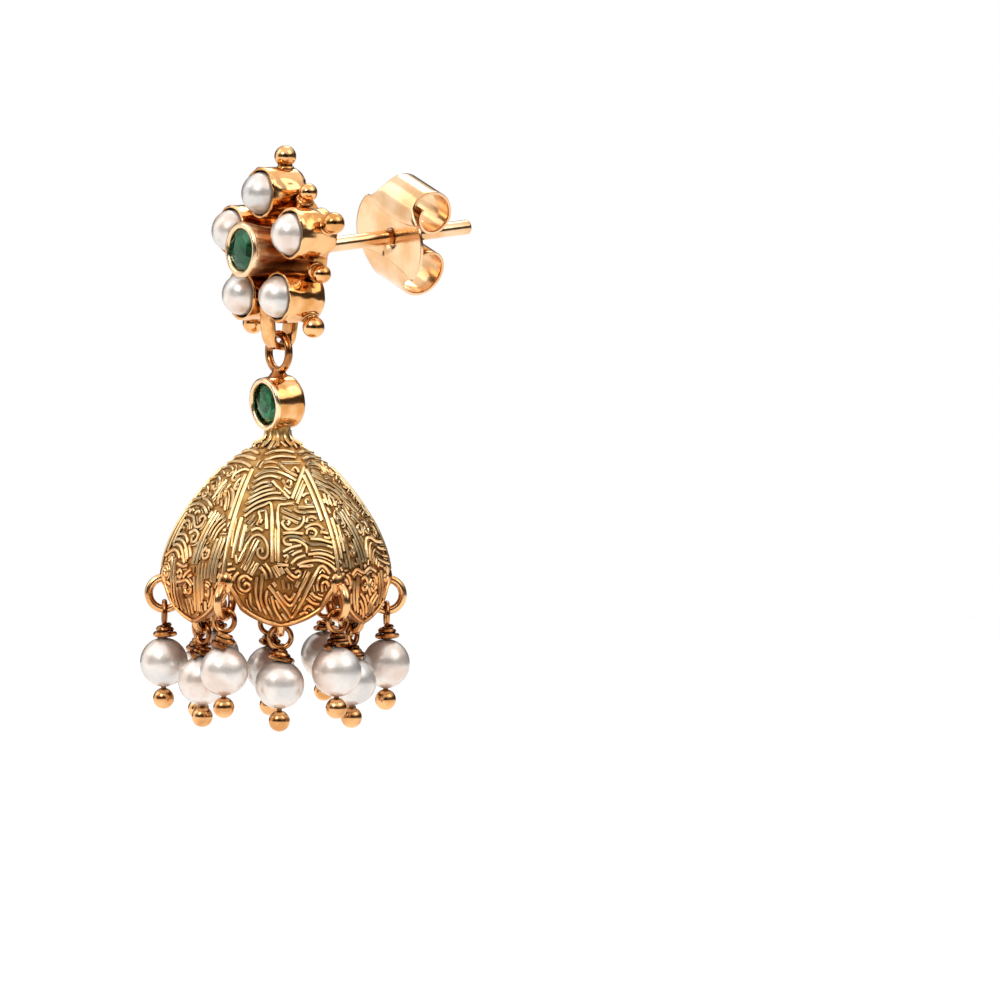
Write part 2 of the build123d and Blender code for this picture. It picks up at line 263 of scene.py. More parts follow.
def metal(
    name, pale, warm, corner_shade_and_tarnish, roughness, patch, scratch_depth, recess, recess_reach,
    streak_scale=(1, 1, 1), low_shade_below_mm=None,
):
    """Makes a gold finish: two tones in soft patches, fine hand polish, and painted shade with
    tarnish in its corners, found by an occlusion test. patch is in millimetres; recess is the
    openness where that painted shade is darkest and where clear."""
    material, tree, shader, in_mm = new_material(name)
    settle(shader, Metallic=1.0)
    along = node(tree, "ShaderNodeMapping", vector_type="POINT", Scale=streak_scale)
    link(tree, in_mm.outputs["Vector"], along.inputs["Vector"])
    patches = noise(tree, along, Scale=1 / patch, Detail=3.0)
    tone = ramp(tree, patches, ((0.40, warm), (0.60, pale)))
    # painted shade: an occlusion test darkens corners and hollows towards the tarnish colour
    corners = node(tree, "ShaderNodeAmbientOcclusion", samples=8, Distance=recess_reach)
    darkest, clear = recess
    shade = ramp(tree, corners.outputs["AO"], ((darkest, (0, 0, 0)), (clear, (1, 1, 1))))
    colour = mixed(tree, shade, (*corner_shade_and_tarnish, 1), tone)
    # painted shade: the colour darkens and reddens below the given height
    if low_shade_below_mm is not None:
        split = node(tree, "ShaderNodeSeparateXYZ")
        link(tree, in_mm.outputs["Vector"], split.inputs["Vector"])
        low_shade_share = node(
            tree,
            "ShaderNodeMapRange",
            From_Min=low_shade_below_mm + low_shade_fade_mm,
            From_Max=low_shade_below_mm - low_shade_fade_mm,
        )
        link(tree, split.outputs["Z"], low_shade_share.inputs["Value"])
        colour = mixed(tree, low_shade_share.outputs["Result"], colour, (*low_shade_tint, 1), "MULTIPLY")
    link(tree, colour, shader.inputs["Base Color"])
    least, most = roughness
    gloss = node(
        tree, "ShaderNodeMapRange", From_Min=0.3, From_Max=0.7, To_Min=least, To_Max=most
    )
    polish = noise(tree, in_mm, Scale=6.0, Detail=5.0, Roughness=0.7)
    link(tree, polish, gloss.inputs["Value"])
    link(tree, gloss.outputs["Result"], shader.inputs["Roughness"])
    dents = noise(tree, in_mm, Scale=1.3, Detail=1.0, Roughness=0.4)
    link(tree, bump(tree, dents, scratch_depth), shader.inputs["Normal"])
    return material


polished_gold = metal(
    "polished_gold", polish_pale, polish_warm, tarnish_and_shade, roughness=(0.09, 0.20), patch=1.6,
    scratch_depth=0.03 * mm, recess=(0.25, 0.85), recess_reach=0.5 * mm,
)


def pick(piece):
    """Makes a piece the only one selected, and the active one."""
    bpy.ops.object.select_all(action="DESELECT")
    piece.select_set(True)
    bpy.context.view_layer.objects.active = piece


def faces_out(merge_within=0.0):
    """Merges the active piece's doubles if asked, turns its faces outwards, leaves edit mode."""
    bpy.ops.object.mode_set(mode="EDIT")
    bpy.ops.mesh.select_all(action="SELECT")
    if merge_within:
        bpy.ops.mesh.remove_doubles(threshold=merge_within)
    bpy.ops.mesh.normals_make_consistent(inside=False)
    bpy.ops.object.mode_set(mode="OBJECT")


def turned(name, rings, steps=64):
    """Raises a closed shape from a disc, ring by ring. Rings are (radius, height); a last radius
    of 0 closes the shape in a point."""
    radius, height_now = rings[0]
    bpy.ops.mesh.primitive_circle_add(
        vertices=steps, radius=radius, fill_type="NGON", location=(0, 0, 0)
    )
    piece = bpy.context.object
    piece.name = name
    bpy.ops.object.mode_set(mode="EDIT")
    bpy.ops.mesh.select_all(action="SELECT")
    bpy.ops.transform.translate(value=(0, 0, height_now))
    for ring_r, ring_height in rings[1:]:
        bpy.ops.mesh.extrude_region_move(
            TRANSFORM_OT_translate={"value": (0, 0, ring_height - height_now)}
        )
        if ring_r == 0:
            bpy.ops.mesh.merge(type="CENTER")
        elif ring_r != radius:
            scale = ring_r / radius
            bpy.ops.transform.resize(value=(scale, scale, 1))
        radius, height_now = ring_r, ring_height
    faces_out()
    return piece


def stand(piece, place, facing, spin=0.0):
    """Sets a piece that was made along Z at its place, facing that way, and applies the move."""
    turn = Vector(facing).to_track_quat("Z", "Y").to_matrix().to_4x4()
    piece.matrix_world = Matrix.Translation(place) @ turn @ Matrix.Rotation(spin, 4, "Z")
    pick(piece)
    bpy.ops.object.transform_apply(location=True, rotation=True, scale=True)
    return piece


def joined(name, parts):
    """Joins parts into one piece."""
    pick(parts[0])
    for part in parts[1:]:
        part.select_set(True)
    bpy.ops.object.join()
    parts[0].name = name
    parts[0].data.name = name
    return parts[0]


def finished(piece, material, body, slot_name, *nodes, smooth_deg=40):
    """Smooths a piece, gives it its metal or stone, and hangs it on its body."""
    pick(piece)
    bpy.ops.object.shade_smooth_by_angle(angle=radians(smooth_deg))
    piece.data.materials.clear()
    piece.data.materials.append(material)
    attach(piece, body)
    if nodes:
        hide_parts(*nodes)
    return piece


forward = Vector((0, -1, 0))
flower_back = turned(
    "flower_back",
    (
        (back_r - back_round, 0),
        (back_r, back_round),
        (back_r, back_t - back_round),
        (back_r - back_round, back_t),
    ),
)
stand(flower_back, (0, back_proud, 0), forward)
back_gold = metal(
    "back_gold", polish_pale, polish_warm, tarnish_and_shade, roughness=(0.16, 0.26), patch=1.6,
    scratch_depth=0.006 * mm, recess=(0.25, 0.85), recess_reach=0.5 * mm,
)
finished(flower_back, back_gold, "stud", "bright_gold", "stud_frame")


# Petal cups: five short tubes of gold sheet, hammered a little out of true, their edges rubbed
# over the pearls. Each is a closed cup soldered to the back.
cup_r = 1.45 * mm
cup_depth = 2.4 * mm
cup_round = 0.35 * mm
cup_lip = 0.17 * mm
cup_floor = 1.1 * mm
hammer_size = 0.7 * mm
hammer_depth = 0.18 * mm
cup_lean = 0.05 * mm
filed_flat = 0.10 * mm
petal_count = 5


def round_edge(radius, height, turn_r, from_deg, to_deg, steps=5):
    """Rings along a rounded edge whose corner's middle is at (radius, height)."""
    angles = [radians(from_deg + (to_deg - from_deg) * k / steps) for k in range(steps + 1)]
    return [(radius + turn_r * cos(a), height + turn_r * sin(a)) for a in angles]


def worked(piece, kind, **settings):
    """Applies a modifier to a piece."""
    pick(piece)
    bpy.ops.object.modifier_add(type=kind)
    work = piece.modifiers[-1]
    for setting, value in settings.items():
        setattr(work, setting, value)
    bpy.ops.object.modifier_apply(modifier=work.name)


def hammered(piece, depth):
    """Beats a piece a little uneven; where it stands sets its own run of dents."""
    pattern = bpy.data.textures.new(piece.name + "_dents", "CLOUDS")
    pattern.noise_scale = hammer_size
    pattern.noise_depth = 1
    worked(
        piece, "DISPLACE", texture=pattern, texture_coords="LOCAL", strength=depth, mid_level=0.5
    )


def cup(name, base_r, rim_r, depth, lip, floor, lean):
    """A round cup: rounded back edge, straight or flared side, and a lip that can lean in."""
    side_steps = 10
    rings = round_edge(base_r - cup_round, cup_round, cup_round, -90, 0)
    for k in range(1, side_steps):
        share = k / side_steps
        rings.append((
            base_r + (rim_r - base_r) * share**2,
            cup_round + (depth - lip / 2 - cup_round) * share,
        ))
    rings += round_edge(rim_r - lip / 2, depth - lip / 2, lip / 2, 0, 150)
    rings += [(rim_r - lip - lean, depth - lip * 0.9), (rim_r - lip - lean * 0.5, depth - lip * 2)]
    rings += [(rim_r - lip, floor)]
    return turned(name, rings, steps=72)


def copied(piece, name):
    """Copies a piece, with its own mesh."""
    again = piece.copy()
    again.data = piece.data.copy()
    again.name = name
    again.data.name = name
    bpy.context.scene.collection.objects.link(again)
    return again


first_cup = cup("cup", cup_r, cup_r, cup_depth, cup_lip, cup_floor, cup_lean)
for index in range(1, petal_count + 1):
    low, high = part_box(f"petal_pearl_{index}")
    place = Vector(((low.x + high.x) / 2, 0, (low.z + high.z) / 2))
    petal_cup = copied(first_cup, f"petal_cup_{index}")
    stand(petal_cup, place, forward, spin=index)
    hammered(petal_cup, hammer_depth)
    for vertex in petal_cup.data.vertices:
        if vertex.co.y > -filed_flat:
            vertex.co.y = 0
    finished(petal_cup, polished_gold, "stud", "bright_gold", "stud_frame")
bpy.data.objects.remove(first_cup)


# Centre cup: taller than the petals and flared towards its wide, softly rounded rim, which holds
# the emerald. Made of thicker sheet than the petal cups.
centre_rim_r = 1.57 * mm
centre_base_r = 1.24 * mm
centre_depth = 3.7 * mm
centre_lip = 0.28 * mm
centre_floor = 2.5 * mm
copper_pale = (1.00, 0.74, 0.48)
copper_dark = (0.60, 0.28, 0.11)
pale_light = (0.88, 0.60, 0.36)
rim_light = (1.00, 0.74, 0.46)
pale_warm = (0.76, 0.44, 0.21)

pale_gold = metal(
    "pale_gold", pale_light, pale_warm, tarnish_and_shade, roughness=(0.13, 0.20), patch=2.2,
    scratch_depth=0.008 * mm, recess=(0.02, 0.55), recess_reach=0.4 * mm,
)
rim_gold = metal(
    "rim_gold", rim_light, pale_light, tarnish_and_shade, roughness=(0.18, 0.28), patch=2.2,
    scratch_depth=0.015 * mm, recess=(0.02, 0.55), recess_reach=0.3 * mm,
)
# centre cup gold: tones stretched into streaks along the cup's axis, brushed lines with painted
# reflection of the petals in them; its long occlusion reach paints shade down the cup's side
# towards its base, between the petals
streaked_gold = metal(
    "streaked_gold", copper_pale, copper_dark, tarnish_and_shade, roughness=(0.26, 0.40), patch=0.40,
    scratch_depth=0.03 * mm, recess=(0.05, 0.50), recess_reach=2.5 * mm, streak_scale=(1.0, 0.18, 1.0),
)

centre_cup = cup(
    "centre_cup", centre_base_r, centre_rim_r, centre_depth, centre_lip, centre_floor, 0.0
)
stand(centre_cup, (0, 0, 0), forward)
hammered(centre_cup, 0.5 * hammer_depth)
finished(centre_cup, streaked_gold, "stud", "bright_gold", "stud_frame")
rim_wire_r = 0.19 * mm
rim_sunk = 0.8
rim_hammer_depth = 0.3 * hammer_depth


def hoop(name, radius, wire_r, place, facing, steps=48, wire_steps=14):
    """A closed ring of round wire that faces along its axis."""
    bpy.ops.mesh.primitive_torus_add(
        major_radius=radius, minor_radius=wire_r, major_segments=steps, minor_segments=wire_steps
    )
    made = bpy.context.object
    made.name = name
    return stand(made, place, facing)


centre_rim = hoop(
    "centre_rim",
    centre_rim_r - rim_wire_r,
    rim_wire_r,
    forward * (centre_depth - rim_wire_r * rim_sunk),
    forward,
    72,
    16,
)
hammered(centre_rim, rim_hammer_depth)
finished(centre_rim, rim_gold, "stud", "bright_gold", "stud_frame")


# Granules: nine solid gold balls round the flower, each melted round and soldered on a short
# collar: a larger one past every petal and a smaller one in every gap but the lowest.
big_granule_r = 0.62 * mm
big_granule_at = 5.27 * mm
small_granule_r = 0.525 * mm
small_granule_at = 4.06 * mm
granule_depth = 0.7 * mm
collar_r = 0.42 * mm
collar_wire_r = 0.13 * mm
collar_share = 0.92
collar_low = 0.5 * mm
collar_high = 0.2 * mm
bead_in = 0.02 * mm
bead_low = 0.1 * mm


def ball(name, radius, place, segments=40, rings=20):
    """A smooth ball at its place."""
    bpy.ops.mesh.primitive_uv_sphere_add(
        segments=segments, ring_count=rings, radius=radius, location=place
    )
    made = bpy.context.object
    bpy.ops.object.transform_apply(location=True, rotation=True, scale=True)
    made.name = name
    return made


up_z = Vector((0, 0, 1))
first_granules = []
for granule_r in (big_granule_r, small_granule_r):
    neck_z = -collar_share * granule_r
    collar = turned(
        "collar", ((collar_r, neck_z - collar_low), (collar_r, neck_z + collar_high)), steps=24
    )
    bead = hoop(
        "bead", collar_r - bead_in, collar_wire_r, (0, 0, neck_z - bead_low), up_z, 28, 10
    )
    first_granules.append(joined("granule", [ball("ball", granule_r, (0, 0, 0)), collar, bead]))
for index in range(2 * petal_count):
    if index == petal_count:
        continue
    turn = radians(90 - index * 180 / petal_count)
    outward = Vector((cos(turn), 0, sin(turn)))
    granule_at = (big_granule_at, small_granule_at)[index % 2]
    granule = copied(first_granules[index % 2], f"granule_{index + 1}")
    stand(granule, outward * granule_at + forward * granule_depth, outward)
    finished(granule, polished_gold, "stud", "bright_gold", "stud_frame")
for granule in first_granules:
    bpy.data.objects.remove(granule)


# Bail: a flat strip bent to a U under the flower, open from side to side, with a rounded knob
# where its front arm is soldered between the two lowest petals. The drop's ring hangs in it.
bail_y = axis_y
bail_t = 0.35 * mm
bail_top_half_width = 0.60 * mm
bail_low_half_width = 0.46 * mm
bail_bend_r = 0.675 * mm
bail_bend_z = -4.83 * mm
bail_arm_y = 0.785 * mm
bail_arm_top_z = -3.3 * mm
bail_knob_r = 0.56 * mm
bail_knob_in = 0.10 * mm
bail_shoulders = ((bail_arm_y, -4.0 * mm), (0.72 * mm, -4.5 * mm))
bail_block_r = 0.53 * mm
bail_block_low_z = -3.95 * mm
bail_block_top_z = -2.9 * mm
sharp_edge = radians(50)


def arc(centre, radius, from_deg, to_deg, step_deg=10):
    """Points of an arc in a plane, ends included."""
    count = max(2, round(abs(to_deg - from_deg) / step_deg))
    turns = [radians(from_deg + (to_deg - from_deg) * k / count) for k in range(count + 1)]
    return [(centre[0] + radius * cos(a), centre[1] + radius * sin(a)) for a in turns]


def bent_strip(
    name, path, half_width, thickness, place, across, along, up, columns=9,
    sag=lambda share, side: 0.0,
):
    """Bends a strip of sheet along a flat path. half_width is a function of the share of the path
    passed; along and up are the path plane's directions and across is the strip's. sag lowers it
    at a share of the path and a side place from -1 to 1."""
    bpy.ops.mesh.primitive_grid_add(
        x_subdivisions=columns - 1, y_subdivisions=len(path) - 1, size=2
    )
    strip = bpy.context.object
    strip.name = name
    for vertex in strip.data.vertices:
        share = (vertex.co.y + 1) / 2
        point = path[round(share * (len(path) - 1))]
        side = vertex.co.x * half_width(share)
        height = point[1] - sag(share, vertex.co.x)
        vertex.co = Vector(place) + across * side + along * point[0] + up * height
    worked(strip, "SOLIDIFY", thickness=thickness, offset=0, use_even_offset=True)
    worked(strip, "BEVEL", width=thickness * 0.22, segments=2, angle_limit=sharp_edge)
    faces_out()
    return strip


side_x = Vector((1, 0, 0))
bail_arm = ((bail_arm_y, bail_arm_top_z), *bail_shoulders)
bail_path = [(-y, z) for y, z in bail_arm]
bail_path += arc((0, bail_bend_z), bail_bend_r, 180, 360)
bail_path += reversed(bail_arm)
bail_strip = bent_strip(
    "bail",
    bail_path,
    lambda share: bail_low_half_width
    + (bail_top_half_width - bail_low_half_width) * abs(2 * share - 1) ** 2,
    bail_t,
    (0, bail_y, 0),
    side_x,
    Vector((0, 1, 0)),
    up_z,
)
knob = ball(
    "knob", bail_knob_r, (0, bail_y - bail_arm_y + bail_knob_in, bail_arm_top_z), 32, 16
)
bail_block = turned(
    "block", ((bail_block_r, bail_block_low_z), (bail_block_r, bail_block_top_z)), steps=32
)
stand(bail_block, (0, bail_y, 0), up_z)
bail = joined("bail", [bail_strip, knob, bail_block])
finished(bail, polished_gold, "stud", "bright_gold", "stud_frame")


# Ear post: a straight round wire soldered to the middle of the flower's back, rising a little,
# with a softened end. A small foot of solder shows round its root.
post_r = 0.425 * mm
post_length = 12.0 * mm
post_rise = radians(6.0)
post_end = 0.15 * mm
foot_r = 0.68 * mm
foot_t = 0.25 * mm
foot_edge = 0.1 * mm
post_root = 0.3 * mm

post_way = Vector((0, cos(post_rise), sin(post_rise)))
post = turned(
    "post",
    [(post_r, -post_root), (post_r, post_length * 0.5)]
    + round_edge(post_r - post_end, post_length - post_end, post_end, 0, 80),
    steps=40,
)
stand(post, (0, 0, 0), post_way)
foot = turned(
    "foot", ((foot_r, -foot_edge), (foot_r, foot_edge), (post_r, foot_t)), steps=40
)
stand(foot, (0, 0, 0), -forward)
ear_post = joined("ear_post", [post, foot])
finished(ear_post, pale_gold, "stud", "bright_gold", "stud_frame")


# Half pearls: five flat-backed pearls in the petal cups, domed about a millimetre past the rims,
# no two quite alike. White with a faint rose and grey lustre.
pearl_white = (0.88, 0.80, 0.73)
pearl_rose = (0.78, 0.62, 0.52)
pearl_grey = (0.70, 0.67, 0.64)
pearl_edge = (0.42, 0.32, 0.26)
pearl_rise = 1.0 * mm
pearl_glow = (0.6 * mm, 0.5 * mm, 0.4 * mm)
pearl_unevenness = 0.04 * mm
pearl_off_centre = 0.03
half_pearl_share = 0.955


def nacre(name, shift):
    """Pearl: pale layered body under a clear coat, with drifts of rose and grey."""
    material, tree, shader, in_mm = new_material(name)
    settle(in_mm, Location=(shift, 2 * shift, 3 * shift))
    drift = noise(tree, in_mm, Scale=0.55, Detail=3.0)
    body = ramp(tree, drift, ((0.34, pearl_rose), (0.50, pearl_white), (0.66, pearl_grey)))
    link(tree, body, shader.inputs["Base Color"])
    settle(shader, Metallic=0.60, Roughness=0.36, Specular_Tint=(*pearl_edge, 1))
    settle(shader, Coat_Weight=1.0, Coat_Roughness=0.06, Coat_IOR=1.6)
    settle(shader, Subsurface_Weight=0.15, Subsurface_Radius=pearl_glow)
    skin = bump(tree, noise(tree, in_mm, Scale=1.1, Detail=2.0), pearl_unevenness)
    link(tree, skin, shader.inputs["Normal"])
    link(tree, skin, shader.inputs["Coat Normal"])
    return material


half_pearl_nacre = nacre("half_pearl_nacre", 3.0)
low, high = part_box("petal_pearl_1")
half_r = (high.x - low.x) / 2 * half_pearl_share
dome_r = (half_r**2 + pearl_rise**2) / (2 * pearl_rise)
dome_reach = atan2(half_r, dome_r - pearl_rise)
dome_steps = 14
rings = [(half_r, -high.y)]
for k in range(dome_steps):
    a = dome_reach * (1 - k / dome_steps)
    rings.append((dome_r * sin(a), -low.y - dome_r + dome_r * cos(a)))
rings.append((0, -low.y))
first_half_pearl = turned("half_pearl", rings, steps=56)
for index in range(1, petal_count + 1):
    low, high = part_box(f"petal_pearl_{index}")
    half_pearl = copied(first_half_pearl, f"half_pearl_{index}")
    off_x = random.uniform(-pearl_off_centre, pearl_off_centre) * mm
    off_z = random.uniform(-pearl_off_centre, pearl_off_centre) * mm
    stand(half_pearl, ((low.x + high.x) / 2 + off_x, 0, (low.z + high.z) / 2 + off_z), forward)
    finished(half_pearl, half_pearl_nacre, "stud", "pearl", f"petal_pearl_{index}", smooth_deg=60)
bpy.data.objects.remove(first_half_pearl)


# Centre emerald: a round cut stone, its table just proud of the cup's rim, deep bluish green with
# veils inside it.
emerald_deep = (0.002, 0.050, 0.018)
emerald_bright = (0.034, 0.34, 0.125)
stone_sides = 8
table_share = 0.30
break_share = 0.64
break_height_share = 0.74
pavilion_break_share = 0.55
centre_stone_share = 0.965
centre_crown = 0.40 * mm
centre_girdle = 0.10 * mm
centre_pavilion = 0.80 * mm
centre_stone_in = 0.48 * mm


def emerald(name, deep, bright, vein):
    """Green stone: clear and wet-looking, clouded inside by veils."""
    material, tree, shader, in_mm = new_material(name)
    veils = noise(tree, in_mm, Scale=vein, Detail=4.0, Roughness=0.6, Distortion=0.3)
    body = ramp(tree, veils, ((0.30, deep), (0.72, bright)))
    link(tree, body, shader.inputs["Base Color"])
    settle(shader, Roughness=0.04, IOR=1.58, Specular_IOR_Level=0.018)
    settle(shader, Transmission_Weight=0.84, Metallic=0.22)
    return material


def cut_stone(name, radius, crown, girdle, pavilion):
    """A faceted stone along Z with its girdle at 0: table, crown, girdle and pointed pavilion."""
    half_turn = pi / stone_sides
    circles = (
        (stone_sides, table_share * radius, crown, 0.0),
        (stone_sides, break_share * radius, break_height_share * crown, half_turn),
        (2 * stone_sides, radius, 0.0, 0.0),
        (2 * stone_sides, radius, -girdle, 0.0),
        (
            stone_sides,
            pavilion_break_share * radius,
            -girdle - pavilion_break_share * pavilion,
            half_turn,
        ),
        (3, 0.02 * radius, -girdle - pavilion, 0.0),
    )
    rings = []
    for count, circle_r, circle_height, turn in circles:
        bpy.ops.mesh.primitive_circle_add(
            vertices=count, radius=circle_r, location=(0, 0, circle_height), rotation=(0, 0, turn)
        )
        bpy.ops.object.transform_apply(location=True, rotation=True, scale=True)
        rings.append(bpy.context.object)
    stone = joined(name, rings)
    bpy.ops.object.mode_set(mode="EDIT")
    bpy.ops.mesh.select_all(action="SELECT")
    bpy.ops.mesh.convex_hull()
    faces_out()
    return stone


centre_green = emerald("centre_green", emerald_deep, emerald_bright, 0.9)
low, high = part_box("centre_emerald")
stone_r = (high.x - low.x) / 2 * centre_stone_share
centre_stone = cut_stone("centre_stone", stone_r, centre_crown, centre_girdle, centre_pavilion)
stand(centre_stone, (0, low.y + centre_stone_in, 0), forward)
finished(centre_stone, centre_green, "stud", "emerald", "centre_emerald", smooth_deg=5)


# Butterfly clutch: one piece of springy gold sheet. The plate has the post's hole with a drawn
# lip and a small round dimple; its two tails roll back, over and in beside the post.
clutch_at = 6.4 * mm
clutch_turn = radians(20.0)
sheet_t = 0.25 * mm
edge_t = 0.17 * mm
plate_bevel = 0.03 * mm
plate_half_width = 3.3 * mm
plate_half_height = 2.75 * mm
tail_half_width = 1.5 * mm
root_half_width = 2.70 * mm
root_reach = 1.8 * mm
fold_height = 1.645 * mm
fold_dip = 0.38 * mm
fold_fade = 1.9 * mm
scroll_radii = (1.46 * mm, 1.02 * mm, 0.65 * mm)
scroll_last_deg = 45
hole_r = 0.50 * mm
lip_r = 0.90 * mm
lip_height = 0.16 * mm
dimple_below = 1.10 * mm
dimple_r = 0.46 * mm
dimple_rise = 0.06 * mm
clutch_place = post_way * clutch_at
clutch_across = (
    Vector((cos(clutch_turn), 0, -sin(clutch_turn)))
    - post_way * post_way.dot(Vector((cos(clutch_turn), 0, -sin(clutch_turn))))
).normalized()
clutch_down = post_way.cross(clutch_across)

plate_rings = 22
plate_steps = 112
bpy.ops.mesh.primitive_grid_add(x_subdivisions=plate_steps, y_subdivisions=plate_rings, size=2)
plate = bpy.context.object
plate.name = "clutch_plate"
for vertex in plate.data.vertices:
    turn = (vertex.co.x + 1) * pi
    share = (vertex.co.y + 1) / 2
    edge = 1 / sqrt((cos(turn) / plate_half_width) ** 2 + (sin(turn) / plate_half_height) ** 2)
    for _ in range(6):
        x = edge * cos(turn) / root_half_width
        if abs(x) < 1:
            fold_at = fold_height - fold_dip * (1 - x**2)
            edge = min(edge, fold_at / max(abs(sin(turn)), 0.1))
    radius = hole_r + (edge - hole_r) * share
    x, y = radius * cos(turn), radius * sin(turn)
    lip = lip_height * max(0.0, 1 - (radius - hole_r) / (lip_r - hole_r)) ** 2
    from_dimple = sqrt(x**2 + (y - dimple_below) ** 2) / dimple_r
    dimple = dimple_rise * (0.5 + 0.5 * cos(pi * min(1.0, from_dimple)))
    back_off = sheet_t / 2 + lip - dimple
    vertex.co = clutch_place + clutch_across * x + clutch_down * y + post_way * back_off
faces_out(merge_within=0.002 * mm)
worked(plate, "SOLIDIFY", thickness=edge_t, offset=0)
worked(plate, "BEVEL", width=plate_bevel, segments=2, angle_limit=sharp_edge)

roll, second, third = scroll_radii
middle = sheet_t / 2
roll_end = middle + 2 * roll
second_end = roll_end - 2 * second
tail_path = [(middle, fold_height - 0.02 * mm)]
tail_path += arc((middle + roll, fold_height), roll, 180, 0, 6)
tail_path += arc((roll_end - second, fold_height), second, 0, -180, 9)[1:]
tail_path += arc((second_end + third, fold_height), third, 180, 180 - scroll_last_deg, 12)[1:]
tail_length = sum(
    sqrt((b[0] - a[0]) ** 2 + (b[1] - a[1]) ** 2) for a, b in zip(tail_path, tail_path[1:])
)
upper_tail = bent_strip(
    "upper_tail",
    tail_path,
    lambda share: tail_half_width
    + (root_half_width - tail_half_width) * max(0.0, 1 - share * tail_length / root_reach) ** 3,
    edge_t,
    clutch_place,
    clutch_across,
    post_way,
    -clutch_down,
    15,
    lambda share, side: fold_dip * (1 - side**2)
    * max(0.0, 1 - share * tail_length / fold_fade) ** 2,
)
lower_tail = copied(upper_tail, "lower_tail")
lower_tail.data.transform(
    Matrix.Translation(clutch_place)
    @ Matrix.Rotation(pi, 4, post_way)
    @ Matrix.Translation(-clutch_place)
)
clutch = joined("clutch_sheet", [plate, upper_tail, lower_tail])
finished(clutch, pale_gold, "clutch", "bright_gold", "clutch", smooth_deg=35)


# Drop bezel: a round box of thick sheet, tipped slightly forwards, with a heavy rubbed rim. Its
# top ring is soldered on a small saddle and hangs in the bail; a peg enters the bell's neck.
drop_ring_r = 1.025 * mm
drop_ring_wire_r = 0.225 * mm
drop_ring_z = -5.8 * mm
bezel_r = 1.53 * mm
bezel_depth = 1.94 * mm
bezel_z = -8.64 * mm
bezel_tip = radians(6.0)
bezel_lip = 0.33 * mm
drop_rim_wire_r = 0.175 * mm
drop_rim_sunk = 0.6
bezel_floor = 0.9 * mm
saddle_z = -7.35 * mm
saddle_shape = ((0.78 * mm, 0.0), (0.54 * mm, 0.22 * mm), (0.40 * mm, 0.42 * mm))
saddle_top_r = 0.30 * mm
saddle_top_z = -6.85 * mm
saddle_joint = 0.12 * mm
peg_joint = 0.2 * mm
peg_r = 0.55 * mm
peg_z = -11.1 * mm
wire_pale = (0.66, 0.31, 0.11)
wire_warm = (0.30, 0.105, 0.030)

wire_gold = metal(
    "wire_gold", wire_pale, wire_warm, tarnish_and_shade, roughness=(0.14, 0.26), patch=1.1,
    scratch_depth=0.03 * mm, recess=(0.2, 0.8), recess_reach=0.35 * mm,
)
bezel_way = Vector((0, -cos(bezel_tip), -sin(bezel_tip)))
bezel_back = Vector((0, axis_y, bezel_z)) - bezel_way * bezel_depth / 2
drop_bezel = cup("drop_bezel_box", bezel_r, bezel_r, bezel_depth, bezel_lip, bezel_floor, 0.0)
stand(drop_bezel, bezel_back, bezel_way)
hammered(drop_bezel, 0.4 * hammer_depth)
finished(drop_bezel, polished_gold, "drop", "bright_gold", "drop_bezel")
drop_rim = hoop(
    "drop_rim",
    bezel_r - drop_rim_wire_r,
    drop_rim_wire_r,
    bezel_back + bezel_way * (bezel_depth - drop_rim_sunk * drop_rim_wire_r),
    bezel_way,
    72,
    16,
)
hammered(drop_rim, rim_hammer_depth)
finished(drop_rim, rim_gold, "drop", "bright_gold", "drop_bezel")

drop_ring = hoop(
    "drop_ring", drop_ring_r, drop_ring_wire_r, (0, axis_y, drop_ring_z), forward, 64, 18
)
saddle_rings = [(ring_r, saddle_z + rise) for ring_r, rise in saddle_shape]
saddle_rings.append((saddle_top_r, saddle_top_z + saddle_joint))
saddle = turned("saddle", saddle_rings, steps=32)
stand(saddle, (0, axis_y, 0), up_z)
peg = turned("peg", ((peg_r, peg_z), (peg_r, bezel_z - bezel_r + peg_joint)), steps=32)
stand(peg, (0, axis_y, 0), up_z)
drop_top = joined("drop_top_ring", [drop_ring, saddle, peg])
finished(drop_top, wire_gold, "drop", "bright_gold", "drop_bezel")


# Drop emerald: a smaller, brighter stone in that bezel.
drop_green_deep = (0.001, 0.040, 0.010)
drop_green_bright = (0.050, 0.50, 0.160)
drop_stone_wider = 0.03 * mm
drop_crown = 0.42 * mm
drop_girdle = 0.08 * mm
drop_pavilion = 0.42 * mm
drop_stone_in = 0.32 * mm
drop_green = emerald("drop_green", drop_green_deep, drop_green_bright, 2.4)
low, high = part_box("drop_emerald")
drop_stone_r = (high.x - low.x) / 2 + drop_stone_wider
drop_stone = cut_stone("drop_stone", drop_stone_r, drop_crown, drop_girdle, drop_pavilion)
stand(drop_stone, bezel_back + bezel_way * (bezel_depth - drop_stone_in), bezel_way)
finished(drop_stone, drop_green, "drop", "emerald", "drop_emerald", smooth_deg=5)


# Bell: a hollow six-sided dome of stamped sheet, each side bowed a little, its lower edge cut to
# six shield-shaped tips. A neck tube joins it to the bezel. Antiqued: dark in the low places.
bell_top_z = -10.77 * mm
bell_wall = 0.4 * mm
panel_count = 6
# depth below the top, radius at the ridges, how far a side bows out past a flat one
bell_sections = (
    (0.00, 0.85, 0.10),
    (0.80, 2.07, 0.16),
    (1.70, 3.21, 0.18),
    (3.07, 4.43, 0.20),
    (4.90, 5.63, 0.22),
    (6.70, 6.33, 0.22),
    (8.40, 6.46, 0.20),
    (10.60, 6.10, 0.16),
)
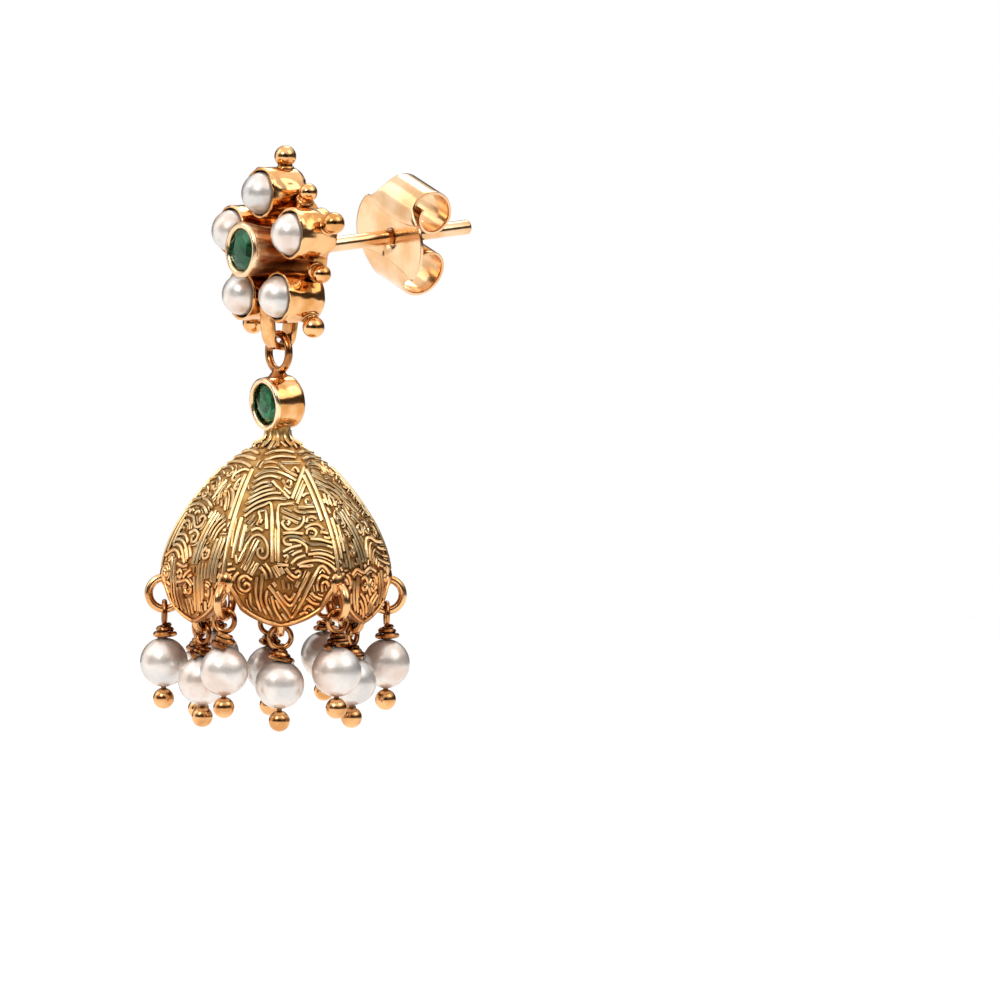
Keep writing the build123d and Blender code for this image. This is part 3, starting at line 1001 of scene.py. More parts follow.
# half the shield's outline: distance from the side's middle line, height
shield_foot = (3.34, -18.45)
shield_side = (2.74, -19.25)
shield_corner = (2.30, -20.00)
shield_edge = (1.25, -20.62)
shield_point = (0.00, -21.00)
shield_corner_share = 0.55
shield_side_share = 0.45
neck_r = 0.75 * mm
neck_top_z = -9.9 * mm
neck_low_z = -11.2 * mm
neck_foot = ((0.90 * mm, 0.25 * mm), (0.84 * mm, 0.46 * mm), (0.97 * neck_r, 0.60 * mm))
neck_waist_r = 0.92 * neck_r
neck_waist_down = 0.30 * mm
neck_brim = 0.12 * mm
antique_pale = (1.00, 0.78, 0.46)
antique_warm = (0.98, 0.64, 0.29)
recess_brown = (0.045, 0.018, 0.004)
recess_pale = (0.66, 0.38, 0.12)
recess_warm = (0.42, 0.20, 0.055)
# below this height the bell's colour is darkened and reddened: painted shade
bell_low_shade_mm = -17.6


def eased(rows, column, depth):
    """A section's value at a depth, run smoothly through the rows."""
    last = len(rows) - 1
    k = next((i for i in range(last) if depth <= rows[i + 1][0]), last - 1)
    before, start, end, after = (rows[min(max(k + j, 0), last)] for j in (-1, 0, 1, 2))
    gap = end[0] - start[0]
    t = (depth - start[0]) / gap
    slope_in = (end[column] - before[column]) / (end[0] - before[0]) * gap
    slope_out = (after[column] - start[column]) / (after[0] - start[0]) * gap
    return (
        (2 * t**3 - 3 * t**2 + 1) * start[column]
        + (t**3 - 2 * t**2 + t) * slope_in
        + (3 * t**2 - 2 * t**3) * end[column]
        + (t**3 - t**2) * slope_out
    )


def ridge_radius(z):
    """Distance of the ridges from the axis at a height; both in millimetres."""
    return eased(bell_sections, 1, max(0.0, bell_top_z / mm - z))


def on_panel(panel, t, z, lift=0.0):
    """Point of a side, t millimetres right of its middle line at height z, lifted off the metal."""
    depth = max(0.0, bell_top_z / mm - z)
    ridge_r = eased(bell_sections, 1, depth)
    bow = eased(bell_sections, 2, depth)
    out = ridge_r * cos(pi / panel_count) + bow * (1 - (2 * t / ridge_r) ** 2) + lift
    turn = 2 * pi * (panel + 0.5) / panel_count
    return Vector((
        (cos(turn) * out - sin(turn) * t) * mm,
        axis_y + (sin(turn) * out + cos(turn) * t) * mm,
        z * mm,
    ))


def curve_through(start, middle, end, share):
    """Point of a soft curve through three points."""
    pull = [2 * m - (s + e) / 2 for s, m, e in zip(start, middle, end)]
    return tuple(
        (1 - share) ** 2 * s + 2 * share * (1 - share) * p + share**2 * e
        for s, p, e in zip(start, pull, end)
    )


def shield_edge_at(share):
    """Lower edge of a side: share is 0 at its point and 1 at the ridge's foot."""
    if share < shield_corner_share:
        low_share = share / shield_corner_share
        return curve_through(shield_point, shield_edge, shield_corner, low_share)
    high_share = (share - shield_corner_share) / shield_side_share
    return curve_through(shield_corner, shield_side, shield_foot, high_share)


panel_columns = 32
panel_rows = 60
bpy.ops.mesh.primitive_grid_add(x_subdivisions=panel_columns, y_subdivisions=panel_rows, size=2)
first_side = bpy.context.object
for vertex in first_side.data.vertices:
    across, down = vertex.co.x, (1 - vertex.co.y) / 2
    end_t, end_z = shield_edge_at(abs(across))
    top_z = bell_top_z / mm
    z = top_z + (end_z - top_z) * down
    natural = ridge_radius(z) / 2
    foot_t = ridge_radius(end_z) / 2
    t = across * natural
    if across != 0:
        t += (end_t * across / abs(across) - across * foot_t) * down**6
    t = max(-natural, min(natural, t))
    vertex.co = on_panel(0, t, z)


def turned_round(piece, name, sides):
    """Copies a piece that stands on one side of the bell to another side, so many sides on."""
    again = copied(piece, name)
    axis = Matrix.Translation((0, axis_y, 0))
    turn = Matrix.Rotation(2 * pi * sides / panel_count, 4, "Z")
    again.data.transform(axis @ turn @ axis.inverted())
    return again


other_sides = [turned_round(first_side, "side", k) for k in range(1, panel_count)]
bell = joined("bell", [first_side] + other_sides)
faces_out(merge_within=0.004 * mm)
worked(bell, "SOLIDIFY", thickness=bell_wall, offset=-1)

antique_gold = metal(
    "antique_gold", antique_pale, antique_warm, recess_brown, roughness=(0.26, 0.38), patch=0.8,
    scratch_depth=0.02 * mm, recess=(0.05, 0.65), recess_reach=0.30 * mm,
    low_shade_below_mm=bell_low_shade_mm,
)
recess_gold = metal(
    "recess_gold", recess_pale, recess_warm, recess_brown, roughness=(0.34, 0.50), patch=0.6,
    scratch_depth=0.04 * mm, recess=(0.35, 0.95), recess_reach=0.4 * mm,
    low_shade_below_mm=bell_low_shade_mm,
)
neck_rings = [(ring_r, neck_low_z + rise) for ring_r, rise in neck_foot]
neck_rings += [(neck_waist_r, neck_top_z - neck_waist_down)]
neck_rings += [(neck_r, neck_top_z - neck_brim), (neck_r, neck_top_z)]
neck = turned("neck", neck_rings, steps=48)
stand(neck, (0, axis_y, 0), up_z)
finished(neck, recess_gold, "drop", "antique_gold", "dome", smooth_deg=50)


def wire(name, wire_r, lines, roundness=1):
    """Round wire along lines, as one piece. Lines are pairs: a share of wire_r, and points."""
    drawn = bpy.data.curves.new(name, "CURVE")
    drawn.dimensions = "3D"
    drawn.bevel_depth = wire_r
    drawn.bevel_resolution = roundness
    drawn.use_fill_caps = True
    for share, points in lines:
        spline = drawn.splines.new("POLY")
        spline.points.add(len(points) - 1)
        for bend, point in zip(spline.points, points):
            bend.co = (*point, 1)
            bend.radius = share
    made = bpy.data.objects.new(name, drawn)
    bpy.context.scene.collection.objects.link(made)
    pick(made)
    bpy.ops.object.convert(target="MESH")
    return bpy.context.object


neck_line_count = 11
neck_line_r = 0.085 * mm
neck_line_way = ((0.70, -10.18), (0.72, -10.45), (0.83, -10.66), (1.08, -10.82), (1.42, -10.98))
neck_line_turns = [2 * pi * number / neck_line_count for number in range(neck_line_count)]
neck_lines = wire(
    "neck_lines",
    neck_line_r,
    [
        (1.0, [
            (cos(turn) * out * mm, axis_y + sin(turn) * out * mm, z * mm)
            for out, z in neck_line_way
        ])
        for turn in neck_line_turns
    ],
)
finished(neck_lines, antique_gold, "drop", "antique_gold", "dome", smooth_deg=60)
finished(bell, recess_gold, "drop", "antique_gold", "dome", smooth_deg=25)


# Relief: raised lines stamped all over the bell. Three neighbouring sides have charts of scrolls,
# bars and nested bows, and the side opposite repeats each. Later strokes stop short of earlier
# ones, and plain bows fill what is left open. Lengths here are in millimetres.
line_r = 0.112
fine_r = 0.060
fine_gap = 0.165
line_lift = 0.030
joint_gap = 0.10
bow_gap = 0.235
bow_pitch = 0.30
step = 0.11
cell = 0.30

# Strokes run through their points, in hundredths of a millimetre: right of the side's middle and
# down from the post, over and over. The charts are named as the lens sees the bell.
per_mm = 100
chart_front = (
    (-62, 1125, -30, 1085),
    (-30, 1118, -5, 1086),
    (15, 1085, 45, 1110),
    (-80, 1152, -30, 1134, 35, 1130, 100, 1145),
    (-85, 1182, -20, 1162, 45, 1160, 130, 1172),
    (-115, 1225, -95, 1198, -55, 1187, -10, 1195, 30, 1232, 95, 1266),
    (2, 1192, 140, 1192),
    (10, 1205, 35, 1228, 60, 1245, 85, 1260, 105, 1240, 85, 1218, 66, 1234, 80, 1242),
    (136, 1212, 98, 1300, 60, 1385),
    (162, 1242, 126, 1330, 88, 1412),
    (-145, 1272, -105, 1246, -45, 1236, 10, 1248, 55, 1268, 95, 1292),
    (-155, 1302, -105, 1274, -50, 1264, 2, 1278),
    (-46, 1292, 2, 1342, 52, 1390),
    (12, 1288, 30, 1318, 52, 1322, 62, 1298, 42, 1286, 34, 1302),
    (16, 1328, 56, 1360),
    (-162, 1334, -110, 1304, -62, 1296),
    (-170, 1362, -110, 1330, -50, 1312),
    (-185, 1392, -110, 1352, -30, 1332),
    (-200, 1420, -120, 1378, -50, 1356, 8, 1358),
    (-210, 1455, -130, 1406, -55, 1386, 30, 1384),
    (-220, 1495, -160, 1448, -100, 1422, -56, 1416, -56, 1560, -56, 1730),
    (72, 1410, 20, 1416, -18, 1432, -19, 1560, -19, 1730),
    (142, 1276, 178, 1292, 202, 1328, 218, 1385),
    (130, 1342, 155, 1318, 186, 1334),
    (106, 1400, 118, 1372, 150, 1355, 182, 1380, 172, 1412, 140, 1410, 142, 1386, 158, 1392),
    (95, 1430, 150, 1430, 205, 1432, 250, 1460),
    (70, 1440, 100, 1458, 160, 1456, 230, 1462, 262, 1490),
    (2, 1450, 50, 1472, 108, 1496),
    (6, 1482, 50, 1498, 92, 1516),
    (126, 1480, 122, 1510, 100, 1538, 62, 1552, 22, 1546, 2, 1516, 24, 1498, 46, 1514, 30, 1528),
    (140, 1514, 150, 1486, 176, 1480, 198, 1494),
    (166, 1506, 174, 1503),
    (218, 1486, 248, 1486, 262, 1512, 240, 1530),
    (130, 1544, 162, 1526, 202, 1524, 235, 1550),
    (140, 1578, 144, 1554, 170, 1546, 192, 1566, 178, 1590, 152, 1588),
    (5, 1572, 60, 1568, 120, 1574),
    (215, 1562, 260, 1572, 295, 1570),
    (235, 1592, 258, 1598, 280, 1592),
    (55, 1634, 18, 1630, 10, 1604, 40, 1588, 90, 1592, 130, 1612, 172, 1632, 230, 1632, 298, 1656),
    (42, 1610, 80, 1610, 115, 1626, 136, 1646, 138, 1680),
    (160, 1602, 220, 1606, 298, 1628),
    (6, 1674, 50, 1650, 108, 1636),
    (10, 1700, 28, 1692, 30, 1714, 16, 1730),
    (146, 1688, 205, 1680, 262, 1692, 306, 1718),
    (52, 1740, 85, 1708, 138, 1690),
    (85, 1746, 130, 1726, 200, 1718, 260, 1738, 305, 1776),
    (-28, 1742, 25, 1746, 95, 1752, 175, 1746),
    (-140, 1530, -120, 1490, -128, 1460, -98, 1446, -84, 1472, -86, 1550),
    (-112, 1478, -112, 1510, -140, 1530),
    (-195, 1530, -170, 1502, -150, 1476),
    (-170, 1560, -135, 1546, -105, 1560),
    (-230, 1498, -252, 1580, -262, 1680, -252, 1740),
    (-242, 1730, -202, 1650, -166, 1594, -126, 1582, -95, 1606, -80, 1646, -82, 1692, -106, 1710,
     -134, 1692, -134, 1660, -112, 1652, -108, 1678),
    (-220, 1595, -188, 1550),
    (-210, 1774, -174, 1704, -142, 1634, -128, 1612),
    (-174, 1802, -136, 1736),
    (-122, 1756, -96, 1790, -86, 1824),
    (-42, 1746, -6, 1802),
    (-14, 1750, 10, 1792),
    (-74, 1860, -30, 1916, 36, 2006, 66, 2034, 134, 1902, 214, 1752, 270, 1792),
    (-26, 1890, 46, 1972, 94, 1902, 136, 1820, 152, 1780),
    (20, 1762, 50, 1798, 82, 1814, 106, 1792, 90, 1774, 72, 1788),
    (16, 1908, 46, 1940, 72, 1898),
    (172, 1762, 180, 1786),
    (-110, 1786, -114, 1860, -116, 1940, -82, 2024),
    (-140, 1810, -146, 1910, -114, 2006),
    (-84, 1886, -90, 1940, -68, 1998, -40, 2050),
    (-56, 1916, -36, 1990, 2, 2052),
    (-32, 1936, -10, 1986),
    (2, 2014, 36, 2052),
    (-170, 1830, -206, 1806, -238, 1828, -234, 1876, -198, 1892, -176, 1866, -200, 1844,
     -210, 1862),
    (-178, 1900, -172, 1960, -140, 2000),
    (204, 1886, 198, 1840, 222, 1802, 260, 1816),
    (230, 1890, 224, 1850, 246, 1836, 266, 1860),
    (162, 1896, 192, 1922, 224, 1934),
    (140, 1926, 174, 1956, 210, 1962),
    (124, 1994, 146, 1970, 174, 1984, 194, 2010),
    (102, 2020, 134, 2006, 156, 2022),
)
chart_left = (
    (-40, 1115, -10, 1084),
    (20, 1086, 50, 1116),
    (-100, 1155, -20, 1135, 80, 1146),
    (-130, 1186, -30, 1166, 110, 1176),
    (-150, 1216, -50, 1198, 50, 1202, 130, 1220),
    (-160, 1246, -80, 1226, -10, 1240, 10, 1262, -12, 1274, -28, 1260),
    (150, 1240, 95, 1234, 50, 1262, 56, 1292, 86, 1292, 88, 1266),
    (180, 1305, 130, 1280, 114, 1310, 130, 1340, 162, 1330),
    (-195, 1310, -120, 1286, -60, 1302, -38, 1334, -62, 1352, -86, 1334),
    (5, 1296, -6, 1360, -20, 1410),
    (36, 1316, 26, 1380, 62, 1430),
    (70, 1320, 66, 1362, 110, 1396, 150, 1460),
    (100, 1340, 144, 1362, 190, 1430, 220, 1500),
    (-215, 1362, -150, 1346, -106, 1376, -130, 1398, -152, 1380),
    (-240, 1428, -160, 1406, -60, 1414, 30, 1452),
    (-252, 1460, -160, 1438, -70, 1446, 6, 1484),
    (-190, 1486, -170, 1470, -146, 1484),
    (-116, 1490, -96, 1474, -72, 1488),
    (-265, 1510, -180, 1504, -110, 1514, -50, 1560, 2, 1550, 16, 1514, -14, 1496, -40, 1516,
     -16, 1530),
    (-210, 1556, -170, 1532, -130, 1544, -110, 1580),
    (-240, 1590, -190, 1570, -155, 1580),
    (80, 1462, 56, 1560, 40, 1660, 36, 1760),
    (110, 1472, 86, 1560, 70, 1660, 66, 1760),
    (166, 1480, 126, 1540, 110, 1600),
    (196, 1500, 156, 1556, 142, 1620),
    (-86, 1596, -40, 1578, 10, 1598, 2, 1636, -36, 1640, -44, 1614, -20, 1612),
    (-270, 1630, -200, 1610, -120, 1612, -70, 1650),
    (-286, 1666, -210, 1640, -130, 1644, -66, 1686, -30, 1740),
    (-292, 1700, -210, 1670, -140, 1676, -90, 1716, -60, 1766),
    (-296, 1734, -220, 1700, -156, 1706, -116, 1740),
    (130, 1660, 104, 1690, 126, 1724, 162, 1710, 160, 1676, 136, 1684),
    (200, 1610, 192, 1720, 190, 1830),
    (230, 1600, 222, 1720, 220, 1850),
    (130, 1750, 134, 1860, 130, 1970),
    (100, 1750, 102, 1860, 96, 2020),
    (-240, 1760, -206, 1740, -190, 1820, -186, 1940, -160, 2010),
    (-166, 1740, -160, 1840, -154, 1940, -128, 2020),
    (-130, 1770, -80, 1780, -20, 1770),
    (-126, 1820, -100, 1802, -76, 1820, -92, 1844, -116, 1838),
    (20, 1790, -20, 1810, -56, 1840),
    (-120, 1870, -70, 1862, -20, 1856, 24, 1884, 16, 1920, -22, 1926, -38, 1900, -12, 1890),
    (-120, 1900, -112, 1960, -86, 2030),
    (-80, 1896, -70, 1960, -42, 2040),
    (60, 1830, 62, 1920, 50, 2020),
    (-30, 1960, -6, 2050),
    (10, 1950, 22, 2040),
    (-290, 1800, -250, 1796, -236, 1830, -262, 1850, -280, 1830),
    (-260, 1880, -220, 1890, -216, 1940),
    (170, 1870, 196, 1880, 190, 1930, 166, 1920),
    (230, 1880, 226, 1930, 190, 1990),
    (160, 1960, 150, 2020),
)
chart_right = (
    (-45, 1120, -15, 1085),
    (10, 1086, 42, 1118),
    (-90, 1148, 0, 1136, 95, 1152),
    (-120, 1180, -10, 1166, 125, 1182),
    (-144, 1214, -70, 1198, -10, 1224, -20, 1250, -50, 1246),
    (150, 1220, 80, 1200, 34, 1220, 30, 1256, 60, 1266, 74, 1242),
    (-160, 1250, -100, 1286, -30, 1320, 50, 1390, 120, 1460),
    (-176, 1286, -120, 1314, -50, 1350, 20, 1420, 90, 1490),
    (-190, 1330, -150, 1344, -120, 1390, -130, 1430),
    (-166, 1430, -150, 1380, -110, 1356, -70, 1380, -60, 1420),
    (-140, 1456, -110, 1416, -80, 1410, -50, 1440, -40, 1490),
    (-190, 1530, -190, 1480, -160, 1456, -136, 1480, -140, 1520, -166, 1520),
    (-110, 1460, -90, 1540, -66, 1640, -50, 1740),
    (-80, 1450, -56, 1540, -30, 1640, -16, 1740),
    (60, 1296, 110, 1280, 150, 1310, 130, 1340, 100, 1326),
    (100, 1370, 156, 1356, 210, 1380),
    (130, 1406, 180, 1396, 226, 1420),
    (156, 1446, 200, 1440, 240, 1460),
    (0, 1480, 36, 1530, 40, 1570, 10, 1580, 0, 1552, 20, 1544),
    (130, 1496, 190, 1480, 256, 1500),
    (76, 1520, 120, 1530, 134, 1570, 106, 1590, 80, 1570, 98, 1556),
    (160, 1520, 220, 1520, 270, 1540),
    (170, 1556, 210, 1556, 230, 1590, 200, 1610, 176, 1594),
    (6, 1720, 20, 1660, 60, 1620, 120, 1616, 180, 1640, 290, 1650),
    (34, 1740, 50, 1690, 90, 1650, 150, 1656, 210, 1680, 296, 1690),
    (66, 1760, 86, 1710, 130, 1686, 190, 1710, 300, 1730),
    (100, 1770, 130, 1730, 180, 1744, 300, 1770),
    (-240, 1550, -236, 1660, -240, 1760),
    (-210, 1560, -204, 1660, -206, 1770),
    (-166, 1560, -140, 1570, -130, 1600, -156, 1610),
    (-170, 1640, -140, 1650, -136, 1690, -166, 1696, -176, 1670),
    (-100, 1610, -90, 1700, -86, 1780),
    (-200, 1810, -140, 1780, -60, 1800, 20, 1780, 90, 1800),
    (-180, 1840, -180, 1930, -140, 2010),
    (-146, 1820, -146, 1920, -110, 2020),
    (-96, 1840, -50, 1826, -20, 1860, -40, 1896, -80, 1890, -80, 1862),
    (30, 1820, 80, 1830, 96, 1880, 60, 1910, 26, 1890, 44, 1866),
    (-106, 1910, -40, 1960, 0, 2030),
    (-106, 1950, -60, 1990, -30, 2050),
    (96, 1920, 40, 1960, 6, 2020),
    (120, 1940, 70, 1980, 40, 2040),
    (130, 1810, 140, 1900, 120, 2000),
    (166, 1800, 176, 1890, 160, 1990),
    (200, 1800, 250, 1796, 266, 1840, 236, 1866, 210, 1846, 230, 1830),
    (-260, 1796, -230, 1820, -220, 1870, -246, 1880),
    (210, 1900, 204, 1960),
)
# bows that fill the open places: middle right, middle down, smallest and largest radius
fill_front = ((-2.6, 18.9, 0.3, 4.0), (2.7, 20.2, 0.3, 5.5), (0.4, 13.0, 0.3, 9.0))
fill_left = ((-1.9, 18.2, 0.3, 3.0), (2.6, 19.8, 0.3, 5.0), (-2.4, 15.2, 0.3, 9.0))
fill_right = ((2.2, 18.6, 0.3, 3.2), (-2.4, 20.0, 0.3, 4.5), (2.0, 14.6, 0.3, 9.0))
# the sides' charts, counted round from the wearer's left towards the back
side_charts = ((chart_right, fill_right), (chart_left, fill_left), (chart_front, fill_front))
stroke_margin = 0.08
rim_margin = 0.06
bow_margin = 0.09
shortest_edge = 0.4
shortest_stroke = 0.2
shortest_echo = 0.3
shortest_fine = 0.25
fine_off = 0.2
relief_top = 10.84
shield_steps = 60
rim_steps = 44
# the line along the lower edge: how far it stands up and in, and how much more it draws in
rim_up = 0.17
rim_in = 0.13
rim_draw = 1.2
# lines along the ridges: side, distance in from the ridge, from and to
ridge_lines = (
    (1, 0.03, 12.3, 18.2),
    (-1, 0.36, 14.9, 17.3),
    (-1, 0.70, 15.3, 16.9),
    (1, 0.36, 12.6, 15.2),
)


def through(points):
    """A soft line through points, walked in even steps."""
    ends = [points[0], *points, points[-1]]
    line = [points[0]]
    for k in range(1, len(ends) - 2):
        before, start, end, after = ends[k - 1 : k + 3]
        far = sqrt((end[0] - start[0]) ** 2 + (end[1] - start[1]) ** 2)
        count = max(1, round(far / step))
        for j in range(1, count + 1):
            s = j / count
            line.append(tuple(
                0.5 * (2 * b + (c - a) * s + (2 * a - 5 * b + 4 * c - d) * s**2
                       + (3 * b - a - 3 * c + d) * s**3)
                for a, b, c, d in zip(before, start, end, after)
            ))
    return line


shield_line = [shield_edge_at(k / shield_steps) for k in range(shield_steps + 1)]


def half_width(down):
    """How far a side reaches from its middle line at a height, down to its shield's edge."""
    if down <= -shield_foot[1]:
        return ridge_radius(-down) / 2
    for low, high in zip(shield_line, shield_line[1:]):
        if high[1] >= -down:
            share = (-down - low[1]) / (high[1] - low[1])
            return low[0] + (high[0] - low[0]) * share
    return 0.0


def far_enough(taken, point, own, gap):
    """Tells whether a point keeps its distance from every line laid before."""
    column, row = floor_of(point[0]), floor_of(point[1])
    for i in (column - 1, column, column + 1):
        for j in (row - 1, row, row + 1):
            for t, down, line in taken.get((i, j), ()):
                if line != own and (t - point[0]) ** 2 + (down - point[1]) ** 2 < gap**2:
                    return False
    return True


def floor_of(value):
    """Number of the cell that a length falls in."""
    return int(value / cell + 1000)


def lay(runs, taken, line, margin, gap, shortest, thick=line_r):
    """Lays a line where there is room for it, and keeps the pieces that are long enough."""
    own = len(runs) + 1
    run = []
    for point in line + [None]:
        inside = (
            point is not None
            and relief_top < point[1]
            and abs(point[0]) < half_width(point[1]) - margin
            and far_enough(taken, point, own, gap)
        )
        if inside:
            run.append(point)
            continue
        if (len(run) - 1) * step >= shortest:
            runs.append((thick, run))
            for t, down in run:
                taken.setdefault((floor_of(t), floor_of(down)), []).append((t, down, own))
        run = []


def beside(line, off):
    """The line that runs along another one, off millimetres from it."""
    echo = []
    for before, here, after in zip([line[0]] + line[:-1], line, line[1:] + [line[-1]]):
        t, down = after[0] - before[0], after[1] - before[1]
        far = sqrt(t**2 + down**2)
        echo.append((here[0] + down / far * off, here[1] - t / far * off))
    return echo


def panel_runs(chart, fill):
    """All the lines of one side."""
    runs = []
    taken = {}
    for side, inset, first, last in ridge_lines:
        edge = [
            (side * (ridge_radius(-first - step * k) / 2 - inset), first + step * k)
            for k in range(int((last - first) / step))
        ]
        lay(runs, taken, edge, 0.0, joint_gap, shortest_edge)
    rim = [
        (t * (1 - rim_in / shield_foot[0] * rim_draw), -z - rim_up)
        for t, z in [shield_edge_at(k / rim_steps) for k in range(rim_steps - 1)]
    ]
    rim = [(-t, down) for t, down in reversed(rim)] + rim
    lay(runs, taken, rim, rim_margin, joint_gap, shortest_edge)
    lines = [
        through([(t / per_mm, down / per_mm) for t, down in zip(stroke[::2], stroke[1::2])])
        for stroke in chart
    ]
    for line in lines:
        lay(runs, taken, line, stroke_margin, joint_gap, shortest_stroke)
    for off, gap, shortest, thick in (
        (bow_pitch, bow_gap, shortest_echo, line_r),
        (fine_off, fine_gap, shortest_fine, fine_r),
    ):
        for side, line in product((1, -1), lines):
            lay(runs, taken, beside(line, side * off), stroke_margin, gap, shortest, thick)
    passes = ((line_r, bow_gap, 0.0), (line_r, bow_gap, 0.5), (fine_r, fine_gap, 0.0))
    for (thick, gap, late), (centre_t, centre_down, low_r, high_r) in product(passes, fill):
        radius = low_r + late * bow_pitch
        while radius < high_r:
            count = max(6, int(2 * pi * radius / step))
            bow = [
                (centre_t + radius * cos(2 * pi * k / count),
                 centre_down + radius * sin(2 * pi * k / count))
                for k in range(count)
            ]
            lay(runs, taken, bow, bow_margin, gap, shortest_stroke, thick)
            radius += bow_pitch * thick / line_r
    return runs


for panel, (chart, fill) in enumerate(side_charts):
    relief = wire(
        f"bell_relief_{panel + 1}",
        line_r * mm,
        [
            (thick / line_r, [on_panel(panel, t, -down, line_lift) for t, down in run])
            for thick, run in panel_runs(chart, fill)
        ],
    )
    opposite_number = panel + 1 + len(side_charts)
    opposite = turned_round(relief, f"bell_relief_{opposite_number}", len(side_charts))
    for piece in (relief, opposite):
        finished(piece, antique_gold, "drop", "antique_gold", "dome", smooth_deg=60)


# Hanging rings: six rings at the feet of the ridges and six small ones behind the shield points,
# soldered upright to the bell for the pearl drops. Round wire, with a smooth pad of solder.
foot_ring_r = 0.90 * mm
foot_ring_wire_r = 0.235 * mm
foot_ring_at = 6.3 * mm
foot_ring_z = -19.5 * mm
point_ring_r = 0.5 * mm
point_ring_wire_r = 0.22 * mm
point_ring_at = 4.86 * mm
point_ring_z = -20.86 * mm
foot_pad = (0.35 * mm, 0.50 * mm, 0.675 * mm)
foot_pad_up = 1.02 * mm
point_pad = (0.25 * mm, 0.30 * mm, 0.30 * mm)
pad_in = 0.06 * mm

ring_gold = metal(
    "ring_gold", polish_pale, wire_pale, tarnish_and_shade, roughness=(0.14, 0.24), patch=1.1,
    scratch_depth=0.03 * mm, recess=(0.15, 0.75), recess_reach=0.35 * mm,
)

first_rings = []
for ring_r, ring_wire_r, pad_size, pad_rise in (
    (foot_ring_r, foot_ring_wire_r, foot_pad, foot_pad_up),
    (point_ring_r, point_ring_wire_r, point_pad, 0.0),
):
    pad = ball("pad", 1.0, (0, 0, 0), 32, 16)
    pad.scale = pad_size
    pad.location = (-pad_in, 0, pad_rise)
    bpy.ops.object.transform_apply(location=True, rotation=True, scale=True)
    ring = hoop("ring", ring_r, ring_wire_r, (0, 0, 0), Vector((0, 1, 0)))
    first_rings.append(joined("ring", [ring, pad]))
for index in range(2 * panel_count):
    turn = index * pi / panel_count
    ring_at = (foot_ring_at, point_ring_at)[index % 2]
    ring_z = (foot_ring_z, point_ring_z)[index % 2]
    ring = copied(first_rings[index % 2], f"hanging_ring_{index + 1:02d}")
    place = Matrix.Translation((cos(turn) * ring_at, axis_y + sin(turn) * ring_at, ring_z))
    ring.data.transform(place @ Matrix.Rotation(turn, 4, "Z"))
    finished(ring, ring_gold, "drop", "antique_gold", "dome")
for ring in first_rings:
    bpy.data.objects.remove(ring)


# Pearl drops: twelve pearls hang round the rim. Each sits on a head pin: a drawn wire with a
# melted ball below, bent to an eye above, its end wound down in turns that widen on the pearl.
pin_wire_r = 0.15 * mm
eye_r = 0.61 * mm
end_ball_r = 0.60 * mm
wind_wire_r = 0.145 * mm
wind_top_r = 0.27 * mm
wind_low_r = 0.64 * mm
wind_turns = 2.3
wind_points = 30
wind_lean = 0.16
wind_widening = 1.3
wind_end_down = 0.05 * mm
wind_start_down = 0.12 * mm
wind_tails = (0.25, 0.55)
pearl_width_spread = 0.035
pearl_height_spread = 0.04
stem_in_ball = 0.4 * mm


def wound_wire(name, top, low_z, start_turn, tail):
    """Wire wound in widening turns round the pin's neck, its cut end left standing out."""
    count = int(wind_turns * wind_points)
    lean = random.uniform(0, 2 * pi)
    points = []
    for k in range(count + 1):
        share = k / count
        turn = start_turn + share * wind_turns * 2 * pi
        radius = wind_top_r + (wind_low_r - wind_top_r) * share**wind_widening
        z = top.z + (low_z - top.z) * share + wind_lean * radius * cos(turn - lean)
        points.append(Vector((top.x + radius * cos(turn), top.y + radius * sin(turn), z)))
    way = (points[-1] - points[-2]).normalized()
    points.append(points[-1] + way * tail + Vector((0, 0, -wind_end_down)))
    return wire(name, wind_wire_r, [(1.0, points)], roundness=2)


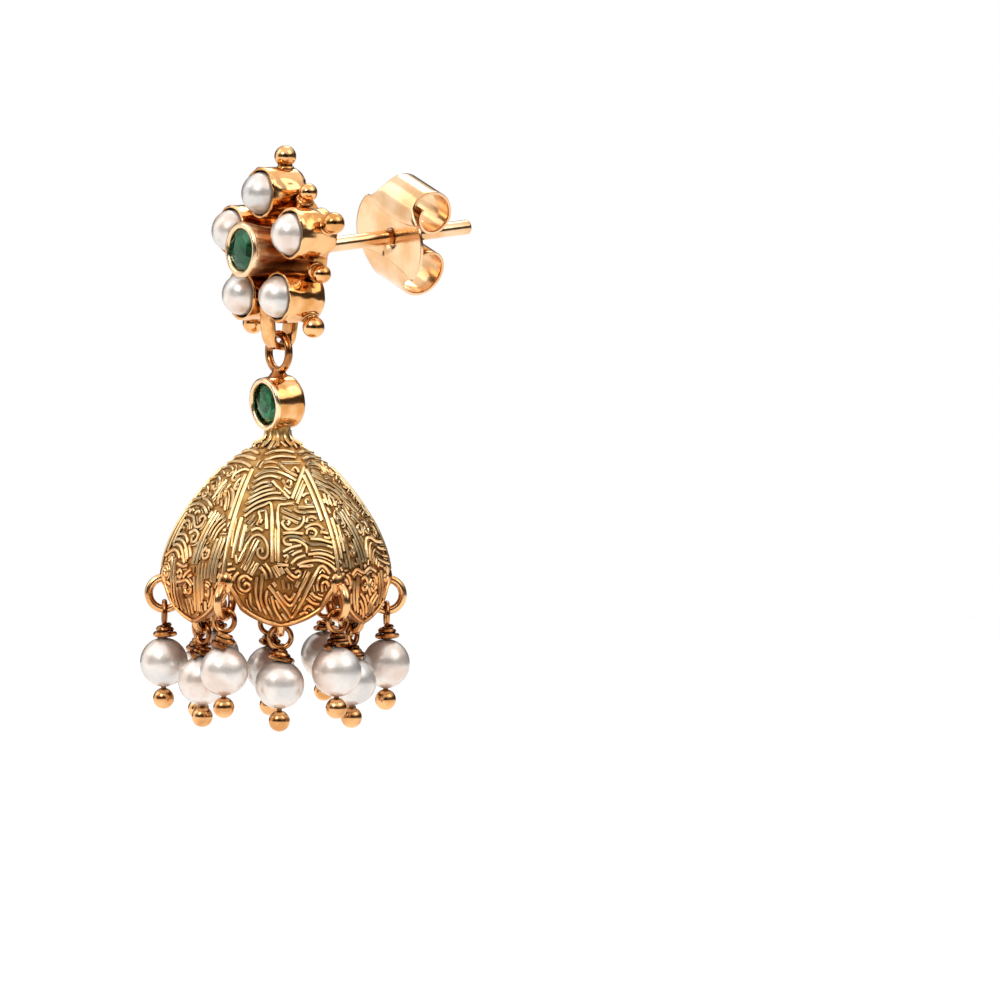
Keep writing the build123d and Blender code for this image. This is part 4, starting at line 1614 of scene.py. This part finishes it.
drop_nacre = [nacre(f"drop_nacre_{k + 1}", 7.0 * k) for k in range(3)]
low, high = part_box("drop_pearl_01")
pearl_r = (high.x - low.x) / 2
bpy.ops.mesh.primitive_uv_sphere_add(segments=56, ring_count=24, radius=pearl_r)
first_pearl = bpy.context.object
bpy.ops.object.mode_set(mode="EDIT")
bpy.ops.mesh.select_mode(type="VERT")
bpy.ops.mesh.select_all(action="DESELECT")
bpy.ops.object.mode_set(mode="OBJECT")
for vertex in first_pearl.data.vertices:
    vertex.select = abs(vertex.co.z) > pearl_r * 0.999
bpy.ops.object.mode_set(mode="EDIT")
bpy.ops.mesh.delete(type="VERT")
bpy.ops.mesh.select_all(action="DESELECT")
bpy.ops.mesh.select_non_manifold()
bpy.ops.mesh.bridge_edge_loops()
faces_out()

first_pin_low, first_pin_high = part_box("head_pin_01")
eye_below = eye_r + pin_wire_r
stem_end = first_pin_low.z - first_pin_high.z + stem_in_ball
first_eye = hoop("eye", eye_r, pin_wire_r, (0, 0, -eye_below), side_x, 40, 12)
first_stem = turned(
    "stem", ((pin_wire_r, stem_end), (pin_wire_r, -eye_below - eye_r)), steps=16
)
first_pin = joined("pin", [first_eye, first_stem])
first_end_ball = ball("end_ball", end_ball_r, (0, 0, 0), 32, 16)

for index in range(1, 2 * panel_count + 1):
    low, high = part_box(f"drop_pearl_{index:02d}")
    centre = (low + high) / 2
    turn = (index - 1) * pi / panel_count
    pearl = copied(first_pearl, f"pearl_{index:02d}")
    width = 1 - random.uniform(0.0, pearl_width_spread)
    height = 1 - random.uniform(0.0, pearl_height_spread)
    pearl.data.transform(Matrix.Translation(centre) @ Matrix.Diagonal((width, width, height, 1)))
    finished(
        pearl, drop_nacre[index % 3], "drop", "pearl", f"drop_pearl_{index:02d}", smooth_deg=60
    )

    pin_low, pin_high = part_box(f"head_pin_{index:02d}")
    pin_place = Matrix.Translation((centre.x, centre.y, pin_high.z))
    plain_pin = copied(first_pin, "plain_pin")
    plain_pin.data.transform(pin_place @ Matrix.Rotation(turn, 4, "Z"))
    wound = wound_wire(
        "wound",
        Vector((centre.x, centre.y, pin_high.z - eye_below - eye_r - wind_start_down)),
        high.z + wind_wire_r * 0.5,
        turn + random.uniform(0, 2 * pi),
        random.uniform(*wind_tails) * mm,
    )
    end_ball = copied(first_end_ball, f"end_ball_{index:02d}")
    end_ball.data.transform(Matrix.Translation((centre.x, centre.y, pin_low.z + end_ball_r)))
    finished(end_ball, ring_gold, "drop", "wire_gold", f"head_pin_{index:02d}")
    pin = joined(f"pin_{index:02d}", [plain_pin, wound])
    finished(pin, wire_gold, "drop", "wire_gold", f"head_pin_{index:02d}")
for first in (first_pearl, first_pin, first_end_ball):
    bpy.data.objects.remove(first)
